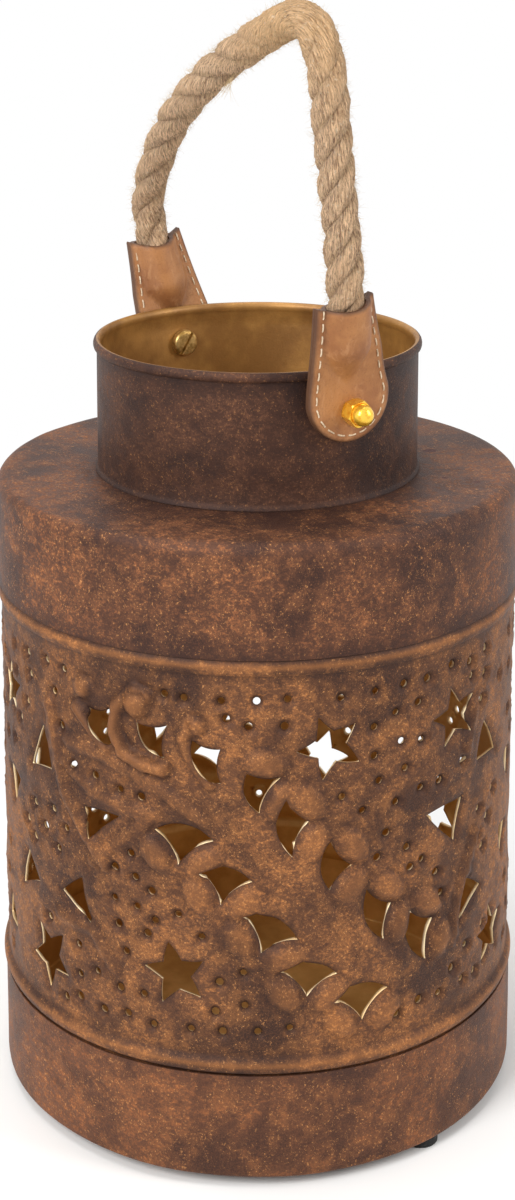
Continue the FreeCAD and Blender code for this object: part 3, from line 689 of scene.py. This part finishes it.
raised, bent_in, beside = pressed_relief(flat)
heights = flat[:, 1]
band = np.clip((heights - band_low - 0.8) / 4, 0, 1)
band *= np.clip((band_low + band_height - 0.8 - heights) / 4, 0, 1)
raised *= band
bent_in *= band
# Painted shade: darker where punches bent the sheet in round the holes, in the grooves beside the pressed
# shapes and along the beads' edges.
painted_shade = np.maximum(np.clip(bent_in / 0.9, 0, 1) * 0.8, beside * band * 1.3)
bead_edges, bead_crowns = (40.0, 46.0, 173.8, 179.6), (43.4, 177.6)
for height in bead_edges:
    painted_shade = np.maximum(painted_shade, 1.1 * np.exp(-((heights - height) / 0.8) ** 2))
# Lighter on the pressed-out relief and along the bead crowns: partly wear, partly painted highlight.
wear_and_highlight = np.clip((raised - 0.6) / 1.6, 0, 1) * 0.7
for height in bead_crowns:
    wear_and_highlight = np.maximum(wear_and_highlight, 0.55 * np.exp(-((heights - height) / 0.9) ** 2))
relief_gain = 1.25
lower_bead_rise, upper_bead_rise = 1.7, 1.15
points = []
for (along, up), out, bent, inside_band in zip(flat, raised * relief_gain, bent_in, band):
    radius = shell_radius + out - bent
    if lower_bead_low < up < lower_bead_low + lower_bead_height:
        radius += lower_bead_rise * math.sin(math.pi * (up - lower_bead_low) / lower_bead_height) ** 0.5
    if upper_bead_low < up < upper_bead_low + upper_bead_height:
        radius += upper_bead_rise * math.sin(math.pi * (up - upper_bead_low) / upper_bead_height) ** 0.6
    angle = toward_camera + along / shell_radius
    spot = Vector((2.7 * math.cos(angle), 2.7 * math.sin(angle), up * 0.035))
    dented = 0.55 * noise.noise(spot) + 0.32 * noise.noise(spot * 3.1) + 0.16 * noise.noise(spot * 7.3)
    radius += inside_band * dented
    seam = min(along - seam_at, seam_at + girth - along)
    radius += 0.45 * inside_band * math.exp(-(seam / 1.6) ** 2)
    points.append((radius * math.cos(angle) / 1000, radius * math.sin(angle) / 1000, up / 1000))


shell_rust = rusted("shell_rust", ((52, 34, 29), (100, 65, 44), (138, 90, 53), (188, 122, 68)), 0.8, 7.7)
shell_gold = gilded("shell_gold", (186, 136, 66), (230, 184, 108), 4.2)
edge_gold = gilded("edge_gold", (214, 176, 118), (255, 236, 196), 5.2)
lip = 0.0012
shell = shown("shell_punched", points, triangles, [shell_rust, shell_gold, edge_gold])
marked(shell, "raised", wear_and_highlight)
marked(shell, "painted_shade", painted_shade)
work = bmesh.new()
work.from_mesh(shell.data)
bmesh.ops.remove_doubles(work, verts=[v for v in work.verts if v.is_boundary], dist=2e-6)
bmesh.ops.recalc_face_normals(work, faces=work.faces)
work.to_mesh(shell.data)
work.free()
if shell.data.polygons[0].normal.dot(shell.data.polygons[0].center) < 0:
    shell.data.flip_normals()
thick = shell.modifiers.new("tin", "SOLIDIFY")
thick.thickness = lip
thick.offset = -1
thick.material_offset = 1
thick.material_offset_rim = 2
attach(shell, "can")
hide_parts("punched_shell")

# The shoulder cap is a round tin plate with its edge turned down into a deep skirt, which slips over the
# shell's top as far as its upper bead. A hole for the neck is cut in its middle.
chipped = [
    # where the finish has chipped off the plate, and how far the chip reaches, in metres
    ((0.0164, 0.0609, 0.2171), 0.0030),
    ((0.0469, 0.0462, 0.2171), 0.0014),
    ((0.0566, 0.0525, 0.2171), 0.0012),
]
cap_browns = ((52, 34, 30), (88, 57, 42), (120, 77, 51), (168, 104, 62))
cap_rust = rusted("cap_rust", cap_browns, 0.85, 12.4, chips=chipped)
skirt_inside, skirt_outside, skirt_edge = 89.4, 90.0, 179.72
plate_under, plate_top, plate_hole = 216.5, 217.1, 54.7
cap_outline = long_runs_cut(eased([
    (skirt_inside, skirt_edge, 0.2), (skirt_outside, skirt_edge, 0.28), (skirt_outside, plate_top, 4.6),
    (plate_hole, plate_top, 0.1), (plate_hole, plate_under, 0.1), (skirt_inside, plate_under, 4.0),
], 7))


def plate_wave(angle, across, up):
    """The plate is not quite flat: it has slow dents between the neck and its turned edge."""
    if up < 210 or across > 87 or across < 57:
        return 0.0
    return 0.7 * noise.noise(Vector((math.cos(angle) * across * 0.03, math.sin(angle) * across * 0.03, 5.5)))


def inside_cap(radius, up):
    """Whether a run's middle lies on the gold side: under the plate and within the turned corner."""
    return up < 216.55 and math.hypot(max(radius - 85.4, 0), max(up - 212.5, 0)) < 4.3


points, faces = turned(cap_outline, spun_sides, uneven=0.35, seed=9.0, wave=plate_wave)
cap = cleaned(shown("shoulder_cap_turned", points, faces, [cap_rust, shell_gold],
                    gold_runs(cap_outline, inside_cap) * spun_sides))
# Painted shade along the skirt's bottom edge and round the neck's foot on the plate.
painted_shade_on(cap, lambda radius, up: max(0.9 * math.exp(-((up - 179.7) / 0.9) ** 2),
                                   0.95 * math.exp(-((radius - 55) / 6) ** 2)))
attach(cap, "can")
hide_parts("shoulder_cap")

# The neck is an open tin collar, lapped and soldered up its side, with a small spread foot on the plate
# and its top edge rolled outward over a wire. It is rusted brown outside and gold inside.
neck_rust = rusted("neck_rust", ((40, 27, 25), (66, 42, 32), (88, 57, 42), (124, 82, 56)), 0.2, 21.3, 0.35)
neck_gold = gilded("neck_gold", (122, 82, 38), (180, 132, 68), 8.6)
neck_outline = [Vector(place) for place in (
    (54.6, 217.15), (56.1, 217.15), (56.05, 217.6), (55.5, 218.2), (55.2, 219.2), (55.2, 226),
    (55.2, 236), (55.2, 246), (55.2, 254), (55.2, 258.9), (55.3, 259.35), (55.75, 259.45), (56.15, 259.8),
    (56.38, 260.5), (56.4, 261.2), (56.25, 261.9), (55.9, 262.45), (55.4, 262.75), (54.85, 262.7),
    (54.4, 262.4), (54.05, 261.9), (53.9, 261.2), (53.95, 260.4), (54.2, 259.7), (54.6, 259.1),
    (54.6, 254), (54.6, 246), (54.6, 236), (54.6, 226),
)]
neck_sides = 260
points, faces = turned(neck_outline, neck_sides, uneven=0.22, seed=2.0)
neck_gold_runs = gold_runs(neck_outline, lambda radius, up: radius < 55.15 and up > 217.5) * neck_sides
neck = cleaned(shown("neck_collar_rolled", points, faces, [neck_rust, neck_gold], neck_gold_runs), 50)
# Painted shade at the neck's foot on the plate and under its rolled rim.
painted_shade_on(neck, lambda radius, up: max(0.8 * math.exp(-((up - 217.2) / 1.2) ** 2),
                                    0.7 * math.exp(-((up - 258.9) / 0.5) ** 2)))
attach(neck, "can")
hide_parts("neck_collar")

# The handle turns on two slotted screws with pan heads. They stand inside the neck, and their shanks pass
# out through its wall and the leather.
pivot_z = 249.5
brass, space, shader = finish_of("screw_brass", Metallic=0.9, Specular_IOR_Level=0.5)
tarnish = space.cloud(0.0022, 4.0, 0.6)
scratch = space.cloud(0.0004, 3.0, 0.7)
feed(shader, Base_Color=tarnish.among(0.35, 0.65).over(shade(150, 116, 60), shade(214, 180, 116)),
     Roughness=0.30 + 0.25 * scratch, Normal=bumped(scratch, 0.00005))
head_radius, head_height, head_seat = 4.75, 2.8, 54.24
shank_radius, shank_length, shank_start = 2.45, 13.5, 54.1
slot_reach, slot_half, slot_floor, slot_over = 0.006, 0.0006, 0.0014, 0.004
head_outline = eased([
    (0, 0, 0), (head_radius, 0, 0.2), (head_radius, head_height, 1.3), (0, head_height, 0),
], 6)
shank_outline = eased([
    (0, 0, 0), (shank_radius, 0, 0), (shank_radius, shank_length, 0.3), (0, shank_length, 0),
])


def sideways(piece, base_at, inward=False, turn=0.0):
    """Lay a piece made upright along the pivot's axis, its base at a distance from the middle in mm."""
    toward = math.copysign(90, base_at) * (-1 if inward else 1)
    spin = Matrix.Rotation(math.radians(toward), 4, "Y") @ Matrix.Rotation(turn, 4, "Z")
    piece.data.transform(Matrix.Translation((base_at / 1000, 0, pivot_z / 1000)) @ spin)


for name, sign in (("front", 1), ("rear", -1)):
    points, faces = turned(head_outline, 48)
    head = cleaned(shown("screw_head_" + name, points, faces, [brass]))
    slot_points = [(x, y, z) for x in (-slot_reach, slot_reach) for y in (-slot_half, slot_half)
                   for z in (slot_floor, slot_over)]
    slot_faces = [(0, 1, 3, 2), (4, 6, 7, 5), (0, 4, 5, 1), (2, 3, 7, 6), (0, 2, 6, 4), (1, 5, 7, 3)]
    cutter = shown("slot_cutter", slot_points, slot_faces, [brass], smooth=False)
    cut = head.modifiers.new("slot", "BOOLEAN")
    cut.operation = "DIFFERENCE"
    cut.solver = "EXACT"
    cut.object = cutter
    cut_mesh = bpy.data.meshes.new_from_object(head.evaluated_get(bpy.context.evaluated_depsgraph_get()))
    head.modifiers.clear()
    head.data = cut_mesh
    bpy.data.objects.remove(cutter)
    cleaned(head, 30)
    points, faces = turned(shank_outline, 24)
    shank = cleaned(shown("screw_shank_" + name, points, faces, [brass]))
    sideways(head, head_seat * sign, True, math.radians(-32))
    sideways(shank, shank_start * sign)
    for piece in (head, shank):
        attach(piece, "can")
    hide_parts("pivot_screws")

# Each end of the rope is sewn between two leaves of tan leather, which is moulded over it and tapers to a
# flat, round end with a hole for the screw. Waxed cream thread runs round the edge.
handle_tilt = math.radians(10)
seam_x, lean = 58.8, 8 / 30
tab_half, tab_top_half, tab_drop, tab_rise = 15.0, 11.4, 10.0, 39.0
leaf_thick = 1.8
rope_hold, grip_low, grip_rise, bend_at = 6.45, 8, 15, 9


def on_handle(across, aside, up):
    """A point of the handle in the frame, from its place in mm about the pivot before it is tilted."""
    tilted = Matrix.Rotation(handle_tilt, 4, "X") @ Vector((across, aside, up)) / 1000
    return tilted + Vector((0, 0, pivot_z / 1000))


def stepped(points, step):
    """Places a fixed step apart along a line of points, and the line's length."""
    places, walked, target = [points[0].copy()], 0.0, step
    for start, end in zip(points, points[1:]):
        length = (end - start).length
        while length > 0 and walked + length >= target:
            places.append(start.lerp(end, (target - walked) / length))
            target += step
        walked += length
    return places, walked


def tab_edge(inset, spacing, top=True):
    """The tab's outline from outside, anticlockwise from the top left, moved in by an inset, in mm."""
    half, top_half = tab_half - inset, tab_top_half - inset
    centre = tab_half - tab_drop
    left = [Vector((-top_half, tab_rise)).lerp(Vector((-half, centre)), i / 40) for i in range(40)]
    left = [place + Vector((0.5 * math.sin(math.pi * i / 40), 0)) for i, place in enumerate(left)]
    bottom = [Vector((-half * math.cos(math.pi * i / 60), centre - half * math.sin(math.pi * i / 60)))
              for i in range(61)]
    right = [Vector((-place.x * (1 - 0.17 * max(place.y - 20, 0) / 19), place.y)) for place in reversed(left)]
    way = left + bottom + right
    if top:
        mouth = (right[-1].x + top_half) / 2
        for i in range(1, 20):
            sag = 2.6 * (1 - (1 - i / 10) ** 2)
            way.append(Vector((right[-1].x - mouth * i / 10, tab_rise - sag)))
        way.append(way[0])
    flat_way = [place.to_3d() for place in way]
    places, walked = stepped(flat_way, spacing)
    return [place.to_2d() for place in places]


def leaf_face(aside, up, side, thick):
    """How far out the leaf's face lies at a place of the tab. Side is 1 for the outer leaf and -1 inside."""
    grip = min(max((up - grip_low) / grip_rise, 0), 1)
    hold = (grip * grip * (3 - 2 * grip)) * rope_hold + thick * min(grip * 3, 1)
    if abs(aside) < hold:
        rope_bulge = math.sqrt(max(hold * hold - aside * aside, 0))
    else:
        rope_bulge = -1.6 * (abs(aside) - hold)
    soft = 1.3
    bulge = 0.5 * (rope_bulge + thick + math.sqrt((rope_bulge - thick) ** 2 + soft)) - 0.12
    rise = 0.5 * ((up - bend_at) + math.sqrt((up - bend_at) ** 2 + 9))
    return seam_x + lean * rise + side * max(bulge, thick)


leather, space, shader = finish_of("tan_leather", Specular_IOR_Level=0.42)
tone = space.cloud(0.016, 4.0, 0.6)
rub = space.stretched(1, 1, 0.5).cloud(0.004, 5.0, 0.65, 1.0)
pores = space.cloud(0.0006, 4.0, 0.6)
colour = tone.among(0.34, 0.66).over(shade(138, 87, 48), shade(166, 112, 64))
colour = (rub.among(0.50, 0.72) * 0.6).over(colour, shade(182, 132, 88))
colour = ((1 - pores.among(0.30, 0.46)) * 0.35).over(colour, shade(88, 56, 36))
# Painted shade along each leaf's edge, for the dark gap between the two leaves.
painted_edge_shade = space.add("ShaderNodeAttribute", {"attribute_name": "painted_edge_shade"}, None, 2)
colour = (painted_edge_shade * 0.8).over(colour, shade(62, 40, 30))
feed(shader, Base_Color=colour, Roughness=0.46 + 0.22 * rub, Normal=bumped(pores * 0.6 + rub, 0.00018))
thread, space, shader = finish_of("waxed_thread", Roughness=0.6, Specular_IOR_Level=0.3)
feed(shader, Base_Color=space.cloud(0.001).among(0.3, 0.7).over(shade(180, 154, 124), shade(222, 202, 174)))

tab_loop = tab_edge(0, 0.9)[:-1]
grid = np.array([(i * 0.95, j * 0.95) for i in range(-16, 17) for j in range(-12, 43)])
away, inside = way_to_loop(grid, tab_loop)
grid = grid[inside & (away > 0.7)]
inner_ring = np.array([tuple(place) for place in tab_edge(0.35, 0.9)])
away_ring, ring_inside = way_to_loop(inner_ring, tab_loop)
inner_ring = inner_ring[ring_inside & (away_ring > 0.2)]
tab_flat, tab_triangles = cut_sheet(tab_loop, [], np.concatenate([grid, inner_ring]))
from_edge, _ = way_to_loop(tab_flat, tab_loop)
rim_order = [int(np.argmin(np.hypot(*(tab_flat - tuple(place)).T))) for place in tab_loop]


def leather_leaf(name, facing, outer):
    """One leaf of a tab as a closed piece of leather with rounded edges."""
    side = 1 if outer else -1
    points, faces, count, edge_shade = [], [], len(tab_flat), []
    for thick in (0.05, leaf_thick):
        for (aside, up), gap in zip(tab_flat, from_edge):
            rounding = math.exp(-(gap / 0.35) ** 2) * 0.5 if thick > 1 else 0
            out = leaf_face(aside, up, side, thick - rounding)
            points.append(on_handle(out * facing, aside * facing, up))
            # How much painted shade falls near the leaf's edge.
            edge_shade.append(math.exp(-(gap / 0.5) ** 2))
    for first, second, third in tab_triangles:
        faces.append((first, second, third))
        faces.append((first + count, third + count, second + count))
    for low, high in zip(rim_order, rim_order[1:] + rim_order[:1]):
        if low != high:
            faces.append((low, high, high + count, low + count))
    leaf = shown(name, points, faces, [leather])
    marked(leaf, "painted_edge_shade", edge_shade)
    work = bmesh.new()
    work.from_mesh(leaf.data)
    bmesh.ops.recalc_face_normals(work, faces=work.faces)
    work.to_mesh(leaf.data)
    work.free()
    leaf.data.set_sharp_from_angle(angle=math.radians(60))
    return leaf


def ring_faces(first, rings, sides):
    """The four-sided faces between rings of points that follow each other, from the first point on."""
    faces = []
    for ring in range(rings - 1):
        for side in range(sides):
            low, after = first + ring * sides, (side + 1) % sides
            faces.append((low + side, low + after, low + sides + after, low + sides + side))
    return faces


def sewn(name, facing, outer):
    """Short stitches of thread along the leaf's margin, dipping into the leather at their ends."""
    side = 1 if outer else -1
    margin, spacing = 2.2, 0.1
    way = tab_edge(margin, spacing, top=False)
    stitch, pitch = 29, 42
    thread_wide, thread_deep, thread_sides = 0.29, 0.26, 6
    points, faces = [], []
    first = 12
    while first + stitch + 1 < len(way):
        run = way[first:first + stitch:4]
        base = len(points)
        for index, place in enumerate(run):
            share = index / (len(run) - 1)
            lift = 0.32 * math.sin(math.pi * share) ** 0.5 - 0.12
            out = leaf_face(place.x, place.y, side, leaf_thick) + side * lift
            ahead = run[min(index + 1, len(run) - 1)] - run[max(index - 1, 0)]
            cross = Vector((-ahead.y, ahead.x)).normalized()
            for corner in range(thread_sides):
                angle = math.pi * corner / 3
                wide, deep = thread_wide * math.cos(angle), thread_deep * math.sin(angle)
                aside, up = place.x + cross.x * wide, place.y + cross.y * wide
                points.append(on_handle((out + side * deep) * facing, aside * facing, up))
        faces += ring_faces(base, len(run), thread_sides)
        faces.append(tuple(range(base, base + thread_sides)))
        faces.append(tuple(reversed(range(len(points) - thread_sides, len(points)))))
        first += pitch
    return shown(name, points, faces, [thread])


pad_bore, pad_radius, pad_thick, pad_seat = 2.6, 7.5, 1.6, 55.5
ring_outline = eased([
    (pad_bore, 0, 0.1), (pad_radius, 0, 0.4), (pad_radius, pad_thick, 0.1), (pad_bore, pad_thick, 0.1),
])
for name, facing in (("front", 1), ("rear", -1)):
    for layer, outer in (("outer", True), ("inner", False)):
        leaf = leather_leaf("tab_%s_%s" % (name, layer), facing, outer)
        stitches = sewn("stitches_%s_%s" % (name, layer), facing, outer)
        for piece in (leaf, stitches):
            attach(piece, "handle")
        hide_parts("tab_%s_leaves" % layer)
    points, faces = turned(ring_outline, 48)
    pad = cleaned(shown("leather_pad_" + name, points, faces, [leather]))
    sideways(pad, pad_seat * facing)
    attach(pad, "handle")

# A brass cap nut with a domed crown closes the end of each screw outside the leather. It is coated a
# bright yellow gold, which has pooled a little darker in places.
nut_coat, space, shader = finish_of("nut_coat", Metallic=0.7, Coat_Weight=0.3, Coat_Roughness=0.1)
pool = space.cloud(0.0024, 3.0, 0.6)
grit = space.cloud(0.0005, 3.0, 0.6)
colour = pool.among(0.36, 0.56).over(shade(232, 172, 44), shade(250, 204, 72))
feed(shader, Base_Color=colour, Roughness=0.18 + 0.10 * grit, Normal=bumped(grit, 0.000006))
half_flats, hex_top, nut_seat = 4.0, 4.6, 60.8
nut_rings = [
    # radius, height; the hexagon shows where a ring is wider than its flats
    (4.2, 0.0), (5.0, 0.5), (5.0, hex_top), (4.25, 5.0), (3.75, 5.0), (3.55, 4.75), (3.5, 5.1), (3.5, 6.3),
    (3.35, 7.2), (2.95, 8.1), (2.2, 8.8), (1.3, 9.2), (0.0, 9.35),
]
nut_sides = 72
for name, facing in (("front", 1), ("rear", -1)):
    points = []
    for radius, up in nut_rings:
        for corner in range(nut_sides):
            angle = 2 * math.pi * corner / nut_sides
            flat_reach = half_flats / math.cos((angle + math.pi / 6) % (math.pi / 3) - math.pi / 6)
            reach = min(radius, flat_reach)
            height = up - max(0.0, flat_reach - 4.2) * 0.55 + 0.3 if up == hex_top else up
            points.append(Vector((math.cos(angle) * reach, math.sin(angle) * reach, height)) / 1000)
    faces = ring_faces(0, len(nut_rings), nut_sides)
    faces.append(tuple(reversed(range(nut_sides))))
    nut = cleaned(shown("cap_nut_" + name, points, faces, [nut_coat]), 28)
    sideways(nut, nut_seat * facing, False, math.radians(12))
    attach(nut, "can")
    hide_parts("cap_nuts")

# The handle is one length of three-strand jute rope, about 12.5 mm thick, laid right-handed. It is bent
# sharply over at its top and falls in a long slope to the rear tab. Its ends are sewn into the tabs.
rope_route = [
    (62.8, 24.0), (69.7, 50.0), (72.2, 86.0), (76.8, 121.5), (66.0, 130.0), (43.0, 122.6), (4.0, 107.5),
    (-31.0, 88.5), (-54.5, 67.0), (-68.9, 47.0), (-62.8, 24.0),
]
route = bpy.data.curves.new("rope_line", "CURVE")
route.dimensions = "3D"
route.resolution_u = 24
line = route.splines.new("NURBS")
line.points.add(len(rope_route) - 1)
for point, (across, up) in zip(line.points, rope_route):
    point.co = (*on_handle(across, 0, up), 1)
line.order_u = 3
line.use_endpoint_u = True
drawn = bpy.data.objects.new("rope_line", route)
bpy.context.collection.objects.link(drawn)
followed = bpy.data.meshes.new_from_object(drawn.evaluated_get(bpy.context.evaluated_depsgraph_get()))
rope_line = [vertex.co.copy() for vertex in followed.vertices]
bpy.data.meshes.remove(followed)
bpy.data.objects.remove(drawn)

rope_step = 0.0011
rope_steps, rope_length = stepped(rope_line, rope_step)
rope_aside = (on_handle(0, 1, 0) - on_handle(0, 0, 0)).normalized()
strand_offset = 0.0025
strand_wide, strand_deep = 0.0041, 0.0036
strand_sides = 20
lay, slack_lay = 0.0320, 0.026
slack_at, slack_reach = 0.193, 0.085
fold_at, fold_reach = 0.118, 0.027
# The strands are laid more slowly on the slack slope, and at the fold the rope is rubbed to a felt.
lay_turns, felted = [0.0], []
for index in range(len(rope_steps)):
    walked = index * rope_step
    slack = math.exp(-((walked - slack_at) / slack_reach) ** 4)
    lay_turns.append(lay_turns[-1] + rope_step / (lay + slack_lay * slack))
    felted.append(math.exp(-((walked - fold_at) / fold_reach) ** 2))


def rope_frame(index):
    """The rope's direction and its two cross directions at one of its steps."""
    before = rope_steps[max(index - 1, 0)]
    after = rope_steps[min(index + 1, len(rope_steps) - 1)]
    along = (after - before).normalized()
    return along, rope_aside.cross(along).normalized(), rope_aside


points, faces, twist, gap_shade_share = [], [], [], []
for strand in range(3):
    first = len(points)
    for index, centre in enumerate(rope_steps):
        along, across, aside = rope_frame(index)
        walked, felt = index * rope_step, felted[index]
        phase = 2 * math.pi * (lay_turns[index] + strand / 3)
        phase += 0.16 * noise.noise(Vector((walked * 60, strand * 7.1, 0)))
        out = across * math.cos(phase) + aside * math.sin(phase)
        round_way = along.cross(out)
        swell = (1 + 0.07 * noise.noise(Vector((walked * 90, strand * 3.3, 5)))) * (1 + 0.3 * felt)
        middle = centre + out * (strand_offset * (1 - 0.45 * felt))
        for side in range(strand_sides):
            angle = 2 * math.pi * side / strand_sides - math.pi
            fray = 1 + 0.13 * noise.noise(Vector((walked * 330, side * 2.3, strand * 9.0)))
            points.append(middle + out * (math.cos(angle) * strand_deep * swell * fray)
                          + round_way * (math.sin(angle) * strand_wide * swell * fray))
            twist.append((walked, angle * strand_wide + 1.15 * walked))
            # How much painted shade each point gets: most on the strand's side that faces into the rope.
            gap_shade_share.append((0.5 - 0.5 * math.cos(angle)) * (1 - 0.6 * felt))
    faces += ring_faces(first, len(rope_steps), strand_sides)
jute, space, shader = finish_of("jute", Roughness=0.95, Sheen_Weight=0.12, Sheen_Roughness=0.6,
                                Specular_IOR_Level=0.15)
lie = space.add("ShaderNodeUVMap", {"uv_map": "lie"})
# The yarn streaks and the dark straw streaks are partly the jute's own fibre tone and partly painted shade in
# the gaps between yarns.
yarns = lie.stretched(260, 1900, 1).cloud(1.0, 6.0, 0.75, 0.8)
apart = lie.add("ShaderNodeVectorMath", {"operation": "ADD"}, {0: lie, 1: (0.7, 0.3, 0)})
straws_and_gap_shade = apart.stretched(330, 1500, 1).cloud(1.0, 4.0, 0.7, 0.6)
patches = space.cloud(0.018, 3.0)
specks = space.cloud(0.0012, 2.0)
colour = yarns.among(0.36, 0.60).over(shade(128, 88, 58), shade(255, 214, 170))
colour = (patches.among(0.42, 0.68) * 0.4).over(colour, shade(222, 178, 134))
matted = space.add("ShaderNodeAttribute", {"attribute_name": "matted"}, None, 2)
colour = (matted * (0.30 + 0.45 * yarns)).over(colour, shade(224, 174, 108))
colour = (specks.among(0.60, 0.72) * 0.5).over(colour, shade(244, 222, 190))
# Painted shade on the strands' sides where they meet inside the rope.
strand_gap_shade = space.add("ShaderNodeAttribute", {"attribute_name": "strand_gap_shade"}, None, 2)
colour = (strand_gap_shade * 0.5).over(colour, shade(100, 70, 48))
colour = (straws_and_gap_shade.among(0.57, 0.66) * 0.7).over(colour, shade(112, 76, 54))
feed(shader, Base_Color=colour, Normal=bumped(yarns + 0.5 * specks, 0.0019))
rope = shown("rope_strands", points, faces, [jute])
lain = rope.data.uv_layers.new(name="lie")
for loop in rope.data.loops:
    lain.data[loop.index].uv = twist[loop.vertex_index]
marked(rope, "strand_gap_shade", gap_shade_share)
marked(rope, "matted", [felt for strand in range(3) for felt in felted for side in range(strand_sides)])

wisps = random.Random(7)
hair_points, hair_faces = [], []


def hair(root, way, length, thick, bend):
    """A thin three-sided fibre that leaves its root and curves away."""
    side = way.orthogonal().normalized()
    other = way.cross(side)
    curl = (side * wisps.uniform(-1, 1) + other * wisps.uniform(-1, 1)) * bend
    steps = 4
    hair_faces.extend(ring_faces(len(hair_points), steps + 1, 3))
    for step in range(steps + 1):
        share = step / steps
        centre = root + way * (length * share) + curl * (length * share * share)
        for corner in range(3):
            angle = 2 * math.pi * corner / 3
            around = side * math.cos(angle) + other * math.sin(angle)
            hair_points.append(centre + around * thick * (1 - 0.8 * share))


loose_ends, loose_root, loose_thick = 5200, 0.0054, 0.00005
tuft_ends, tuft_step, tuft_root, tuft_thick = 26, 150, 0.005, 0.00008
for number in range(loose_ends):
    index = wisps.randrange(14, len(rope_steps) - 14)
    along, across, aside = rope_frame(index)
    angle = wisps.uniform(0, 2 * math.pi)
    out = across * math.cos(angle) + aside * math.sin(angle)
    sweep = along * wisps.uniform(-1.6, 1.6) + along.cross(out) * wisps.uniform(-1.2, 1.2)
    way = (out + sweep).normalized()
    hair(rope_steps[index] + out * loose_root, way, wisps.uniform(0.001, 0.0033), loose_thick, 0.6)
for number in range(tuft_ends):
    along, across, aside = rope_frame(tuft_step)
    root = rope_steps[tuft_step] - across * tuft_root + along * wisps.uniform(-0.002, 0.002)
    way = (Vector((0.2, -0.4, -1)) + Vector([wisps.uniform(-0.3, 0.3) for part in range(3)])).normalized()
    hair(root, way, wisps.uniform(0.004, 0.010), tuft_thick, 0.6)
loose, space, shader = finish_of("loose_fibre", Roughness=0.9, Specular_IOR_Level=0.1)
feed(shader, Base_Color=space.cloud(0.004).among(0.35, 0.65).over(shade(188, 160, 118), shade(216, 192, 152)))
fuzz = shown("rope_fuzz", hair_points, hair_faces, [loose])

for piece in (rope, fuzz):
    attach(piece, "handle")
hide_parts("handle_rope")
